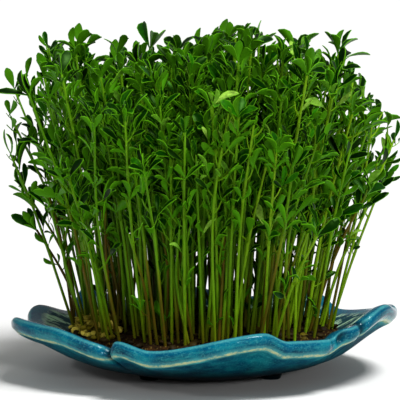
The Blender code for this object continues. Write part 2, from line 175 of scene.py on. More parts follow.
# %% [markdown]
# ## The dish
#
# The real dish was thrown or rolled as a shallow round of clay, and then its wall was pinched by hand into lobes.
# The clay's cut edge stays as a broad band round the rim. It could be sculpted freely, but then it would leave the
# model's size. So it starts as the model does: a section is spun about the upright axis, and a rule waves the wall
# up and down and in and out. Here the section's corners are rounded first, and there are many more steps, so that
# the band catches the light in two soft lines as glazed clay does.

# %% Section and rim of the dish
DISH_RADIUS = 118 * MM
RIM_HEIGHT = 36 * MM
DISH_STEPS = 450
DISH_SECTION = (  # (radius, height) in mm, from under the middle round the rim to the middle of the inside
    (0, 2),
    (44, 2),
    (76, 9.8),
    (108, 22.8),
    (114.3, 25.6),
    (118, 29.6),
    (118.4, 33.4),
    (116, 36),
    (110.5, 34.2),
    (86, 21.8),
    (62, 15.5),
    (0, 13),
)
RIM = (  # high and low points, anticlockwise from +X: (degrees, reach in mm, height in mm)
    (38, 113, 29.5),
    (54, 119, 38),
    (76, 113, 31),
    (98, 119, 37),
    (116, 113, 30),
    (130, 119, 40),
    (140, 112, 28),
    (153, 120, 34),
    (172, 111, 30),
    (202, 124, 42),
    (218, 119, 41),
    (237, 113.5, 34),
    (243.5, 119, 38),
    (254, 117.5, 33),
    (288, 119, 43.5),
    (297, 116, 37),
    (311, 116, 35.5),
    (315, 112, 35),
    (320, 117, 40.5),
    (338, 121, 50),
    (355, 120.5, 43.5),
)
WAVE_STARTS = 87 * MM
WAVE_FULL = 112 * MM


def smooth(share):
    """0 to 1 with a level start and end."""
    share = min(max(share, 0), 1)
    return share * share * (3 - 2 * share)


def rim_at(degrees):
    """(reach, height) of the rim in metres, eased from each high or low point to the next."""
    degrees = (degrees - RIM[0][0]) % 360 + RIM[0][0]
    points = [*RIM, (RIM[0][0] + 360, *RIM[0][1:])]
    for (start, *low), (end, *high) in zip(points, points[1:]):
        if degrees <= end:
            share = smooth((degrees - start) / (end - start))
            return [(a + (b - a) * share) * MM for a, b in zip(low, high)]


print("rim at the front:", [round(size / MM, 1) for size in rim_at(270)], "mm (reach, height)")

# %% Spinning the section
CORNER = 1.3 * MM  # how far the dish's corners are rounded
DISH_RUN = 5 * MM  # no stretch of its section is much longer than this


def rounded_section(section, corner, run):
    """The section as a wire bmesh with its corners rounded and its long stretches cut into short ones."""
    bm = bmesh.new()
    points = [bm.verts.new((radius * MM, 0, height * MM)) for radius, height in section]
    for pair in zip(points, points[1:]):
        bm.edges.new(pair)
    bmesh.ops.bevel(
        bm, geom=points[1:-1], affect="VERTICES", offset=corner, segments=3, profile=0.5, material=-1
    )
    for edge in list(bm.edges):
        cuts = int(edge.calc_length() / run)
        if cuts:
            bmesh.ops.subdivide_edges(bm, edges=[edge], cuts=cuts)
    return bm


def spin_closed(bm, steps):
    """Spins a wire about the upright axis into a closed solid whose faces point out."""
    bmesh.ops.spin(
        bm, geom=bm.verts[:] + bm.edges[:], cent=(0, 0, 0), axis=UP, angle=math.tau, steps=steps, use_merge=True
    )
    bmesh.ops.remove_doubles(bm, verts=bm.verts, dist=0.01 * MM)
    bmesh.ops.recalc_face_normals(bm, faces=bm.faces)


dish = rounded_section(DISH_SECTION, CORNER, DISH_RUN)
print("section:", len(dish.verts), "points")
spin_closed(dish, DISH_STEPS)
print("spun:", len(dish.faces), "faces")

# %% [markdown]
# Glaze tells the story of a pot's shape. It runs thin over an edge, and there the pale clay shows through as a
# cream line. The creases are painted darker, which is painted shade. The brush that laid the glaze on went round
# with the rim. So before the wall is waved, each point of the mesh notes some numbers for the finish to read later:
# how near it is to an edge of the band, whether it is on the inside of the wall, and how high up the section it is.
# How deep it lies in a crease, for the painted shade there, is noted when the creases are made.

# %% Notes for the glaze
ARRISES = (  # the band's edges: radius and height in mm, how far the glaze runs thin in mm, and how thin, up to 1
    (116.8, 35.0, 1.2, 0.66),
    (114.3, 25.6, 3.8, 1),
)
WALL_MIDDLE = ((44, 76, 118), (7, 13, 31))  # radii and heights halfway through the wall, in mm
LIP = (7 * MM, 6 * MM)  # the band keeps its blue for the first width, and the hollow's painted shade comes in over the second
LOOKS_DOWN = -0.3  # a face whose normal is lower than this looks down
BAND, WALL, HOLLOW = 0, 1, 2  # the finishes, in the piece's order


def bell(distance, spread):
    """1 at no distance, falling off softly to either side."""
    return math.exp(-((distance / spread) ** 2))


def note_glaze(bm):
    """Stores how thin the glaze runs over the band's edges, where the wall's inside is, and the brush's height."""
    thin = bm.verts.layers.float.new("glaze_thin")
    inside = bm.verts.layers.float.new("glaze_inside")
    brushed = bm.verts.layers.float.new("glaze_brushed")
    bm.verts.layers.float.new("glaze_crease_shade")
    for vertex in bm.verts:
        radius, height = math.hypot(vertex.co.x, vertex.co.y), vertex.co.z
        vertex[thin] = max(
            most * bell(math.hypot(radius - r * MM, height - h * MM), spread * MM) for r, h, spread, most in ARRISES
        )
        vertex[brushed] = height / MM
        if height > np.interp(radius, *np.array(WALL_MIDDLE) * MM):
            vertex[inside] = smooth((ARRISES[0][0] * MM - radius - LIP[0]) / LIP[1])
    for face in bm.faces:
        face.material_index = BAND
        if face.normal.z < LOOKS_DOWN and face.calc_center_median().z < ARRISES[1][1] * MM:
            face.material_index = WALL
        elif min(vertex[inside] for vertex in face.verts) > 0.5:
            face.material_index = HOLLOW


note_glaze(dish)
print("faces of the hollow:", sum(face.material_index == HOLLOW for face in dish.faces))

# %% Pinching the wall
FOLDS = (  # lobes tucked behind the next ones: degrees, spread in degrees, depth and drop in mm
    (239, 1.5, 5.5, 4),
    (326.4, 1.2, 3, 2),
)
FOLD_RISE = (24, 12)  # a fold is at its widest and deepest this much above the first height, in mm
DENT = (318, 1.8, 4.5 * MM)  # the print of a fingertip in the band
DENT_HEIGHT = (32 * MM, 3.8 * MM)  # in the unwaved band, and its spread
WOBBLE = (0.5 * MM, 26 * MM)  # the hand-made unevenness, and the distance from one bump to the next


def pinch(bm):
    """Waves the wall as the model's, adds the folds, the dent and the unevenness that only show here, and notes
    where the folds and the dent get painted shade.
    """
    crease_shade = bm.verts.layers.float["glaze_crease_shade"]
    for vertex in bm.verts:
        x, y, z = vertex.co
        radius = math.hypot(x, y)
        degrees = math.degrees(math.atan2(y, x)) % 360
        weight = smooth((radius - WAVE_STARTS) / (WAVE_FULL - WAVE_STARTS))
        reach, height = rim_at(degrees)
        high = smooth((z / MM - FOLD_RISE[0]) / FOLD_RISE[1])
        for middle, spread, depth, drop in FOLDS:
            crease = bell(degrees - middle, spread * (0.7 + high))
            reach -= depth * MM * crease
            height -= drop * MM * crease * high
            # painted shade: how deep in a fold's crease a point lies, for the finish to darken
            vertex[crease_shade] = max(vertex[crease_shade], bell(degrees - middle, spread * (0.6 + 0.8 * high)))
        dent = bell(degrees - DENT[0], DENT[1]) * bell(z - DENT_HEIGHT[0], DENT_HEIGHT[1])
        reach -= DENT[2] * dent
        # painted shade in the dent as well
        vertex[crease_shade] = max(vertex[crease_shade], dent)
        wobble = noise.noise(Vector((x, y, z)) / WOBBLE[1]) * WOBBLE[0] * weight
        stretch = 1 + weight * (reach / DISH_RADIUS - 1) + wobble / DISH_RADIUS
        lift = weight * (height - RIM_HEIGHT) + noise.noise(Vector((y, z, x)) / WOBBLE[1]) * WOBBLE[0] * weight
        vertex.co = (x * stretch, y * stretch, z + lift)


pinch(dish)
print("dish stands", round(max(vertex.co.z for vertex in dish.verts) / MM, 1), "mm high at its highest lobe")

# %% Feet
FEET = ((-33, -24), (42, -22), (2, 46))
FOOT_RADII = (5.85 * MM, 7.15 * MM)  # at the ground and at the dish
FOOT_HEIGHT = 4 * MM
FOOT_WEAR = 0.7 * MM

for x, y in FEET:
    place = Matrix.Translation((x * MM, y * MM, FOOT_HEIGHT / 2))
    foot = bmesh.ops.create_cone(
        dish,
        cap_ends=True,
        segments=32,
        radius1=FOOT_RADII[0],
        radius2=FOOT_RADII[1],
        depth=FOOT_HEIGHT,
        matrix=place,
    )
    edges = dict.fromkeys(edge for vertex in foot["verts"] for edge in vertex.link_edges)  # each of them once
    worn = [edge for edge in edges if max(vertex.co.z for vertex in edge.verts) < 0.1 * MM]
    bmesh.ops.bevel(dish, geom=worn, affect="EDGES", offset=FOOT_WEAR, segments=2, profile=0.5, material=-1)
smooth_shade(dish)
print("dish and feet:", len(dish.faces), "faces")

# %% [markdown]
# ### Its finish: a brushed turquoise glaze on pale stoneware
#
# The glaze is a copper and cobalt blue, brushed on thick and fired glossy. The eye gets a wet shine, slow clouds
# of lighter and darker blue, cream lines on the edges, and on the inside streaks where it ran down the wall.
# Low on the outside the glaze is painted nearly black, which is painted shade, and there it is quite dull, as if
# wiped off at the foot. The hollow and the creases are painted darker as well, which is painted shade too. So one
# function makes three finishes from the same colours: a glossy one for the band, a dull one for the wall below it,
# and a satin one for the hollow, where the glaze has taken up dust and damp.
#
# Two of its patterns follow the dish. One value of theirs is the angle round the rim, and the other is the height
# up the wall for brush strokes, or the distance from the middle for the streaks that ran down.

# %% Glaze
GLAZE_TINTS = ((0.3, "#002C42"), (0.62, "#005A6C"), (0.5, "#00465E"), (0.74, "#0E7C86"))
CLOUD_SIZE = 17 * MM
STROKES_ROUND = 7  # brush strokes per radian, each then about 17 mm of the rim
STROKES_UP = 0.28  # and per mm of height, each about 3.6 mm wide
STREAKS_ROUND = 10
STREAK_LENGTH = 24 * MM
RIPPLE = (7 * MM, 0.7 * MM)  # the length and height of the slow ripples of a thick glaze


def make_glaze(name, roughness, ior):
    """The glaze's colours from its notes, with a gloss of its own."""
    finish, tree, shader, place = new_finish(name)
    notes = ("glaze_thin", "glaze_inside", "glaze_brushed", "glaze_crease_shade")
    thin, inside, height, crease_shade = [add_node(tree, "Attribute", attribute_name=note).outputs["Fac"] for note in notes]
    clouds = add_node(tree, "TexNoise", {"Vector": place, "Scale": 1 / CLOUD_SIZE, "Detail": 4, "Distortion": 0.6})
    tint = add_node(tree, "ValToRGB", {"Fac": clouds.outputs[0]}, GLAZE_TINTS)
    fine = add_node(tree, "TexNoise", {"Vector": place, "Scale": 1 / (1.3 * MM), "Detail": 2, "Roughness": 0.8})
    patchy = add_node(tree, "TexNoise", {"Vector": place, "Scale": 1 / (8 * MM), "Detail": 7, "Roughness": 0.9})
    worn = add_node(tree, "Math", {0: thin, 1: patchy.outputs[0]}, operation="MULTIPLY").outputs[0]
    above = add_node(tree, "MapRange", {"Value": height, "From Min": 9, "From Max": 27}).outputs[0]

    xyz = add_node(tree, "SeparateXYZ", {0: place})
    turn = add_node(tree, "Math", {0: xyz.outputs["Y"], 1: xyz.outputs["X"]}, operation="ARCTAN2")
    from_middle = add_node(tree, "VectorMath", {0: place}, operation="LENGTH").outputs["Value"]
    patterns = []
    for round_rim, other, across, look in (
        (STROKES_ROUND, height, STROKES_UP, {"Scale": 1, "Detail": 6, "Roughness": 0.7}),
        (
            STREAKS_ROUND,
            from_middle,
            1 / STREAK_LENGTH,
            {"Scale": 1.7, "Detail": 4, "Roughness": 0.6, "Distortion": 0.7},
        ),
    ):
        first = add_node(tree, "Math", {0: turn.outputs[0], 1: round_rim}, operation="MULTIPLY")
        second = add_node(tree, "Math", {0: other, 1: across}, operation="MULTIPLY")
        along = add_node(tree, "CombineXYZ", {0: first.outputs[0], 1: second.outputs[0]})
        patterns.append(add_node(tree, "TexNoise", {"Vector": along.outputs[0], **look}).outputs[0])
    strokes, streaks = patterns

    layers = (
        (strokes, 0.46, 0.68, 0.7, "#1C8488"),  # brush strokes
        (height, 27, 9, 1, "#000A10"),  # painted shade, darker low on the wall
        (height, 31, 35, 0.65, "#00425E"),  # the top of the band
        (fine.outputs[0], 0.52, 0.68, 0.45, "#3C8C90", above),  # specks
        (inside, 0, 1, 0.9, "#063038"),  # painted shade in the hollow
        (streaks, 0.51, 0.6, 0.95, "#A6CCAA", inside),  # where it ran
        (worn, 0.08, 0.46, 0.66, "#4C9C98"),  # thinner towards an edge
        (worn, 0.37, 0.56, 0.95, "#B4B884"),  # and cream on it
        (crease_shade, 0.25, 0.9, 0.85, "#001420"),  # painted shade in the creases and the dent
    )
    ripples = add_node(tree, "TexNoise", {"Vector": place, "Scale": 1 / RIPPLE[0], "Detail": 3})
    bump = add_node(tree, "Bump", {"Height": ripples.outputs[0], "Strength": 0.35, "Distance": RIPPLE[1]})
    looks = {"Base Color": lay_over(tree, tint.outputs[0], layers), "Normal": bump.outputs[0]}
    looks |= {"Roughness": roughness, "IOR": ior, "Specular Tint": linear("#E4F4FA")}
    set_inputs(shader, looks)
    return finish


glossy = make_glaze("brushed_turquoise_glaze_on_stoneware", 0.1, 1.18)
wiped = make_glaze("wiped_turquoise_glaze_on_stoneware", 0.5, 1.06)
# the hollow's darker blue is painted shade; this finish gives it a satin gloss
hollow_glaze = make_glaze("hollow_turquoise_glaze_on_stoneware", 0.3, 1.05)
glazed_dish = add_piece("glazed_dish", dish, [glossy, wiped, hollow_glaze], ["dish"])
print("finishes:", [finish.name for finish in glazed_dish.data.materials])

# %% [markdown]
# ## The bed
#
# There is no soil in such a dish. The sprouts stand in a felt of their own roots, with the soaked seeds' coats
# and the lentils that never came up lying all over it. The felt is one turned mound, roughened by noise. The
# lentils are one small lens shape, with few faces because there are hundreds, laid at random but never twice in
# one place. At the left a heap of pale ones has slid against the wall of the dish.

# %% The felt of roots
BED_RADIUS = 84 * MM
BED_EDGE = 28 * MM
BED_CROWN = 32 * MM
FELT_STEPS = 200
FELT_CORNER = 0.8 * MM
FELT_RUN = 1.8 * MM  # no stretch of its section is much longer than this
FELT_GAP = 0.3  # between the felt and the dish, in mm
FELT_BUMPS = ((7 * MM, 1.1 * MM), (2.6 * MM, 0.7 * MM))  # (size, height) of the lumps in it


def dish_inside(radius):
    """Height of the dish's inner surface under the bed, from its section."""
    inner = [(r * MM, z * MM) for r, z in reversed(DISH_SECTION[-3:])]
    return float(np.interp(radius, [r for r, _ in inner], [z for _, z in inner]))


def bed_top(radius):
    """Height of the bed's gently domed top."""
    return BED_CROWN - (BED_CROWN - BED_EDGE) * (radius / BED_RADIUS) ** 2


def felt_section():
    """The mound's section in mm: its flat underside, its edge, and its top."""
    floor = [(radius, dish_inside(radius * MM) / MM + FELT_GAP) for radius in (0, 62, 83.2)]
    top = [(radius, bed_top(radius * MM) / MM) for radius in (80, 68, 50, 30, 12, 0)]
    return floor + [(84, 26.4)] + top


felt = rounded_section(felt_section(), FELT_CORNER, FELT_RUN)
spin_closed(felt, FELT_STEPS)
for vertex in felt.verts:
    radius = math.hypot(vertex.co.x, vertex.co.y)
    if vertex.co.z > 0.9 * bed_top(radius) or radius > 80 * MM:
        for size, height in FELT_BUMPS:
            vertex.co.z += noise.noise(vertex.co / size) * height
smooth_shade(felt)
print("felt:", len(felt.faces), "faces")

# %% Lentils
SEED_RADIUS = 2.9 * MM
SEED_HALF_HEIGHT = 1.5 * MM
SEED_SIZES = (0.82, 1.12)  # the smallest and the largest, as shares
SEED_OVAL = 0.94  # a lentil's width over its length
HUSK_WALL = 0.09  # of a lentil's radius
LOOSE_SEEDS = 300
LOOSE_GAP = 4.6 * MM  # between the middles of two loose ones
HEAPED_SEEDS = 130
HEAP = (-66, -12, 14, 30)  # the heap's middle and its spread in x and y, in mm
HEAP_GAP = 3.4 * MM  # ones that are nearer than this lie on each other
HEAP_RISE = (1.6, 1.9)  # the lowest ones' height above the bed, and each further one's, in mm
SEED_EDGE = BED_RADIUS - 2 * MM  # none lie further out


def make_lens():
    """A lentil: a flattened ball of few faces, one across and half as thick."""
    bm = bmesh.new()
    bmesh.ops.create_uvsphere(bm, u_segments=9, v_segments=5, radius=1)
    smooth_shade(bm)
    return to_mesh(bm, "lens")


def make_husk():
    """An empty seed coat: half a lens, open, with a thin wall."""
    bm = bmesh.new()
    bmesh.ops.create_uvsphere(bm, u_segments=9, v_segments=6, radius=1)
    whole = bm.verts[:] + bm.edges[:] + bm.faces[:]
    bmesh.ops.bisect_plane(bm, geom=whole, plane_co=(0, 0, -0.1), plane_no=UP, clear_outer=True)
    bmesh.ops.solidify(bm, geom=bm.faces[:], thickness=HUSK_WALL)
    smooth_shade(bm)
    return to_mesh(bm, "husk")


def add_copy(bm, mesh, matrix, tone):
    """Adds a copy of a small mesh, put in place by a matrix. The tone is a number that its finish reads."""
    start = len(bm.verts)
    bm.from_mesh(mesh)
    bm.verts.ensure_lookup_table()
    new = bm.verts[start:]
    bmesh.ops.transform(bm, matrix=matrix, verts=new)
    layer = bm.verts.layers.float["tone"]
    for vertex in new:
        vertex[layer] = tone


def lie(draw, spot, tilt):
    """A matrix for a lentil lying at a spot, a little tilted, and a little larger or smaller than the next."""
    size = draw.uniform(*SEED_SIZES)
    turn = Matrix.Rotation(draw.uniform(0, math.tau), 4, "Z") @ Matrix.Rotation(draw.gauss(0, tilt), 4, "X")
    shape = Matrix.Diagonal((SEED_RADIUS * size, SEED_RADIUS * size * SEED_OVAL, SEED_HALF_HEIGHT * size, 1))
    return Matrix.Translation(spot) @ turn @ shape


def scatter_seeds(draw):
    """Places for the loose seeds all over the bed, and for the heap at the left, piled three deep."""
    places = []
    loose = []
    while len(loose) < LOOSE_SEEDS:
        angle = draw.uniform(0, math.tau)
        radius = SEED_EDGE * math.sqrt(draw.uniform(0, 1))
        spot = Vector((radius * math.cos(angle), radius * math.sin(angle), 0))
        if all((spot - other).length > LOOSE_GAP for other in loose):
            loose.append(spot)
            lift = draw.uniform(0.2, 1.2) * MM
            places.append(lie(draw, Vector((spot.x, spot.y, bed_top(radius) + lift)), 0.35))
    heap = []
    while len(heap) < HEAPED_SEEDS:
        spot = Vector((draw.gauss(HEAP[0], HEAP[2] / 2), draw.gauss(HEAP[1], HEAP[3] / 2), 0)) * MM
        under = sum((spot - other).length < HEAP_GAP for other in heap)
        if spot.length <= SEED_EDGE and under <= 3:
            heap.append(spot)
            lift = (HEAP_RISE[0] + HEAP_RISE[1] * under) * MM
            places.append(lie(draw, Vector((spot.x, spot.y, bed_top(spot.length) + lift)), 0.5))
    return places


draw = random.Random(5)
lens = make_lens()
husk = make_husk()
seeds = bmesh.new()
seeds.verts.layers.float.new("tone")
seed_places = scatter_seeds(draw)
for number, matrix in enumerate(seed_places):
    pale = 0.74 if number >= LOOSE_SEEDS else 0.12
    add_copy(seeds, husk if number % 4 == 1 else lens, matrix, draw.gauss(pale, 0.18))
print("lentils and husks:", len(seed_places), "with", len(seeds.faces), "faces")

# %% [markdown]
# ### Their finishes: damp root felt and lentil skin
#
# The felt is a very dark brown where it stays wet, with paler root hairs, and quite dull. Lentil skin is smooth but
# not glossy. It goes from straw yellow on a dry seed to olive brown on a soaked one, with small freckles. Each seed
# has a number for its own tone, kept on its points.

# %% Felt and skin
HAIR_SIZE = (1.1111, 4.5455, 2)  # in mm. Real ones are finer, and would not show
HAIR_TURN = 0.6  # radians


def make_felt_finish():
    """Root felt: lumps of wet brown, with pale hairs that lie one way."""
    finish, tree, shader, place = new_finish("damp_root_felt")
    lumps = add_node(tree, "TexNoise", {"Vector": place, "Scale": 1 / (5 * MM), "Detail": 6})
    browns = ((0.3, "#080401"), (0.7, "#34200A"), (0.52, "#1A0E03"))
    tint = add_node(tree, "ValToRGB", {"Fac": lumps.outputs[0]}, browns)
    scale = [1 / (size * MM) for size in HAIR_SIZE]
    lie_of_hairs = add_node(tree, "Mapping", {"Vector": place, "Rotation": (0, 0, HAIR_TURN), "Scale": scale})
    hairs = add_node(tree, "TexNoise", {"Vector": lie_of_hairs.outputs[0], "Scale": 1, "Detail": 2}).outputs[0]
    colour = lay_over(tree, tint.outputs[0], [(hairs, 0.6, 0.72, 0.5, "#7C6A30")])
    bump = add_node(tree, "Bump", {"Height": hairs, "Strength": 0.6, "Distance": 0.6 * MM})
    looks = {"Base Color": colour, "Normal": bump.outputs[0], "Roughness": 0.95, "Specular IOR Level": 0.06}
    set_inputs(shader, looks)
    return finish


def make_skin_finish():
    """Lentil skin: a tone for each seed, and small freckles."""
    finish, tree, shader, place = new_finish("soaked_lentil_skin")
    tone = add_node(tree, "Attribute", attribute_name="tone").outputs["Fac"]
    skins = ((0.0, "#120C02"), (0.95, "#D6C450"), (0.3, "#2E2406"), (0.65, "#746A12"))
    tint = add_node(tree, "ValToRGB", {"Fac": tone}, skins)
    specks = add_node(tree, "TexNoise", {"Vector": place, "Scale": 1 / (0.9 * MM), "Detail": 2})
    colour = lay_over(tree, tint.outputs[0], [(specks.outputs[0], 0.56, 0.66, 0.45, "#3A2410")])
    set_inputs(shader, {"Base Color": colour, "Roughness": 0.6, "Specular IOR Level": 0.08})
    return finish


root_felt = add_piece("root_felt", felt, [make_felt_finish()], ["seed_bed"])
lentils = add_piece("lentils_and_husks", seeds, [make_skin_finish()])
print("finishes of the bed:", [piece.data.materials[0].name for piece in (root_felt, lentils)])

# %% [markdown]
# ## Where the sprouts grow
#
# The model has 34 clumps of four stems, with some of the leaflets. Their places come from a seeded plan, and the
# plan is made again here by the same rules and with the same seed, so each fine stem and leaflet stands where its
# solid stands. Each stem has a joint part of the way up and one at its top, and leaves grow there. Nothing may
# cross, so every stem and leaflet keeps some room, as a row of balls, before the next one is placed. The balls are
# kept in small cells, so that each new one only looks at the cells round it.

# %% Sizes of the stand
CLUMPS = 34
CLUMP_CIRCLE = 76 * MM
FOOT_SPREAD = 6.4 * MM  # the side of the square that a clump's four stems leave the bed from
FOOT_SINK = 0.6 * MM
SEED_NUMBER = 23

HALF_WIDTH = 125 * MM
HALF_DEPTH = 120 * MM
STAND_TOP = 222 * MM

# Stems. Each has a joint part of the way up and one at its top, where leaves grow.
TOP_JOINTS = 196 * MM  # height of most of the tallest stems' top joints
STEM_HEIGHTS = ((0.95, 1.0), (0.86, 1.0), (0.74, 0.96), (0.58, 0.86))  # shares, for a clump's four stems
TALLEST = {10: 1.05, 18: 1.02, 23: 1.03, 25: 1.04}  # shares for the first stems of a few clumps
EDGE_DROOP = 0.16  # share by which the outermost clumps' shorter stems are lower still
SPREAD = 1.4  # how much wider the stand is at the top than at the bed
PARTING = (1 * MM, 8 * MM)  # how far a clump's stems part from each other on the way up
STRAY = 3.5 * MM  # how much their tops stray besides
JOINT_LENGTH = 1.6 * MM
LOW_JOINTS = (0.5, 0.72)  # where the lower joint is, as shares of the height
FANNING = 1.35  # a stem leans out little near its foot, and more above: its reach goes with this power of the height
JOINT_TURN = 0.7  # radians either way that a joint's leaves are turned about the stem

# Leaflets, and the stalks that hold some of them off the stem.
LEAF_LENGTHS = (13 * MM, 18 * MM)
LEAF_SHAPE = (0.34, 0.41)  # width over length
LEAF_ROLL = 0.9  # radians either way that a blade is turned about its own length
LEAF_TIP = 2.2 * MM  # width of the blunt end
WIDEST_AT = 0.52  # these three are shares of the length
ARCH = 0.07
DROOP = 0.04
STALK_LENGTHS = (8 * MM, 15 * MM)
LOW_LEANS = (0.6, 1.1)  # radians between the stem and a leaf at its lower joint
TOP_LEANS = (0.55, 1.25)  # and at its top
STALK_LEANS = (0.55, 1.05)
PAIR_ANGLES = (0.7, 1.15)  # between a stalk and the pair of leaflets at its end
STALK_SHARE = 0.4  # of the stems that have a stalk at their lower joint

# Room. Each stem and leaflet keeps a row of balls for itself.
STEM_BALL = 1.4 * MM
LEAF_BALL = 0.9 * MM
CLEARANCE = 0.4 * MM
BLADE_SPOTS = (  # (share of the length, share of the half width). The first three are near the stem
    (0.15, 0),
    (0.26, -0.4),
    (0.26, 0.4),
    (0.36, -0.4),
    (0.36, 0.4),
    (0.5, -1),
    (0.5, 0),
    (0.5, 1),
    (0.64, -0.8),
    (0.64, 0.8),
    (0.78, -0.7),
    (0.78, 0),
    (0.78, 0.7),
    (0.92, -0.4),
    (0.92, 0.4),
    (1, 0),
)


# %% Leaflets, stalks, joints, stems and clumps
@dataclass
class Leaf:
    """A leaflet. Its tip is at root + line * length."""

    root: Vector
    out: Vector
    across: Vector
    upper: Vector
    length: float
    width: float

    @property
    def line(self):
        return self.out - self.upper * DROOP


@dataclass
class Stalk:
    """A stalk with the leaflets at its end. It starts in the middle of a joint, at its root."""

    root: Vector
    out: Vector
    across: Vector
    length: float
    leaves: list


@dataclass
class Joint:
    """A place where leaves grow. It goes up from its place by the joint's length."""

    place: Vector
    up: Vector
    leaves: list
    stalks: list


@dataclass
class Stem:
    foot: Vector
    joints: list


@dataclass
class Clump:
    centre: Vector
    turn: float
    stems: list


# %% Room
class Room:
    """The room already taken, as balls along every stem and over every leaflet, in a grid of cells."""

    def __init__(self, side, gap):
        self.side = side  # of a cell. Two balls' radii and the gap between them come to less
        self.gap = gap
        self.cells = defaultdict(list)
        self.stem = None  # the number of the stem being placed, which each ball keeps

    def cell(self, point):
        """The cell that a point is in."""
        return tuple(int(side // self.side) for side in point)

    def add(self, points, radius, stem):
        """Keeps a ball at each point for a stem."""
        for point in points:
            self.cells[self.cell(point)].append((*point, radius, stem))

    def is_clear(self, points, radius, stem=None):
        """True if balls of this radius stay clear of all that are there, apart from one stem's."""
        for x, y, z in points:
            i, j, k = self.cell((x, y, z))
            for cell in ((i + a, j + b, k + c) for a in (-1, 0, 1) for b in (-1, 0, 1) for c in (-1, 0, 1)):
                for px, py, pz, other, owner in self.cells.get(cell, ()):
                    near = (x - px) ** 2 + (y - py) ** 2 + (z - pz) ** 2 < (radius + other + self.gap) ** 2
                    if near and owner != stem:
                        return False
        return True

    def has_room(self, points, radius, near=3):
        """True if balls of this radius stay clear. The first few, near the stem being placed, may meet its own."""
        return self.is_clear(points[:near], radius, self.stem) and self.is_clear(points[near:], radius)


def points_between(start, end, step=2.5 * MM):
    """Points along a straight line, about a step from each other."""
    count = max(2, round((end - start).length / step))
    return [tuple(start.lerp(end, i / (count - 1))) for i in range(count)]


def inside_limits(points):
    """True if the points are inside the stand's outer limits by a little more than a blade's thickness."""
    furthest = np.abs(points).max(axis=0) + (1.5 * MM, 1.5 * MM, 0)
    return bool((furthest < (HALF_WIDTH, HALF_DEPTH, STAND_TOP)).all())


# %% Stems
def clump_spots(draw):
    """Evenly spread places on the bed, as in a sunflower's head, each with a turn."""
    golden = math.pi * (3 - math.sqrt(5))
    for number in range(CLUMPS):
        radius = CLUMP_CIRCLE * math.sqrt((number + 0.4) / CLUMPS)
        angle = number * golden
        spot = Vector((radius * math.cos(angle), radius * math.sin(angle), 0))
        spot.z = bed_top(radius) - FOOT_SINK
        yield spot, draw.uniform(0, math.pi / 2)


def axes_round(direction, turn):
    """Two axes square to a direction and to each other, turned about it."""
    first = Vector((math.cos(turn), math.sin(turn), 0))
    first = (first - direction * first.dot(direction)).normalized()
    return first, direction.cross(first)


def plan_line(number, spot, turn, quarter, draw, crowd):
    """A stem's foot, the place of its lower joint, and the place of its top joint."""
    corner = Matrix.Rotation(turn + quarter * math.pi / 2, 3, "Z") @ Vector((1, 1, 0))
    foot = spot + corner * FOOT_SPREAD / 2
    edge = spot.xy.length / CLUMP_CIRCLE
    for attempt in range(200):
        height = draw.uniform(*STEM_HEIGHTS[quarter]) * (1 - EDGE_DROOP * edge**4 * quarter / 3)
        if quarter == 0:
            height = TALLEST.get(number, height)
        fan = foot.xy * SPREAD + corner.xy * draw.uniform(*PARTING)
        top = Vector((draw.gauss(fan.x, STRAY), draw.gauss(fan.y, STRAY), TOP_JOINTS * height))
        share = draw.uniform(*LOW_JOINTS)
        middle = Vector((*foot.xy.lerp(top.xy, share**FANNING), foot.z + (top.z - foot.z) * share))
        points = points_between(foot, middle) + points_between(middle, top)
        if crowd.is_clear(points, STEM_BALL):
            break
    crowd.add(points, STEM_BALL, crowd.stem)
    return foot, middle, top


# %% Leaflets and their stalks
def blade_points(leaf):
    """Points over a leaflet's blade, past the part that is near its own stem."""
    points = []
    for share, side in BLADE_SPOTS:
        lift = leaf.upper * leaf.length * ARCH * (1 - abs(share - WIDEST_AT) / WIDEST_AT)
        place = leaf.root + leaf.line * leaf.length * share + lift
        points.append(tuple(place + leaf.across * leaf.width / 2 * side))
    return points


def plan_leaf(root, out, across, upper, shrink, draw, crowd):
    """A list with one leaflet that keeps clear of everything placed so far, or an empty list."""
    for attempt in range(5):
        length = draw.uniform(*LEAF_LENGTHS) * shrink
        roll = Matrix.Rotation(draw.uniform(-LEAF_ROLL, LEAF_ROLL), 3, out)
        leaf = Leaf(root, out, roll @ across, roll @ upper, length, length * draw.uniform(*LEAF_SHAPE))
        points = blade_points(leaf)
        if inside_limits(points) and crowd.has_room(points, LEAF_BALL):
            crowd.add(points, LEAF_BALL, crowd.stem)
            return [leaf]
    return []


def leaves_round(centre, up, axes, sides, angles, shrink, draw, crowd):
    """Leaflets from some of a joint's four sides, each leaning out from the stem by an angle."""
    leaves = []
    for side in sides:
        face = axes[side % 2] * (1 if side < 2 else -1)
        for attempt in range(4):
            angle = draw.uniform(*angles)
            face = Matrix.Rotation(draw.uniform(-0.2, 0.2), 3, up) @ face
            out = face * math.sin(angle) + up * math.cos(angle)
            upper = up * math.sin(angle) - face * math.cos(angle)
            made = plan_leaf(centre, out, out.cross(upper), upper, shrink, draw, crowd)
            if made:
                leaves += made
                break
    return leaves


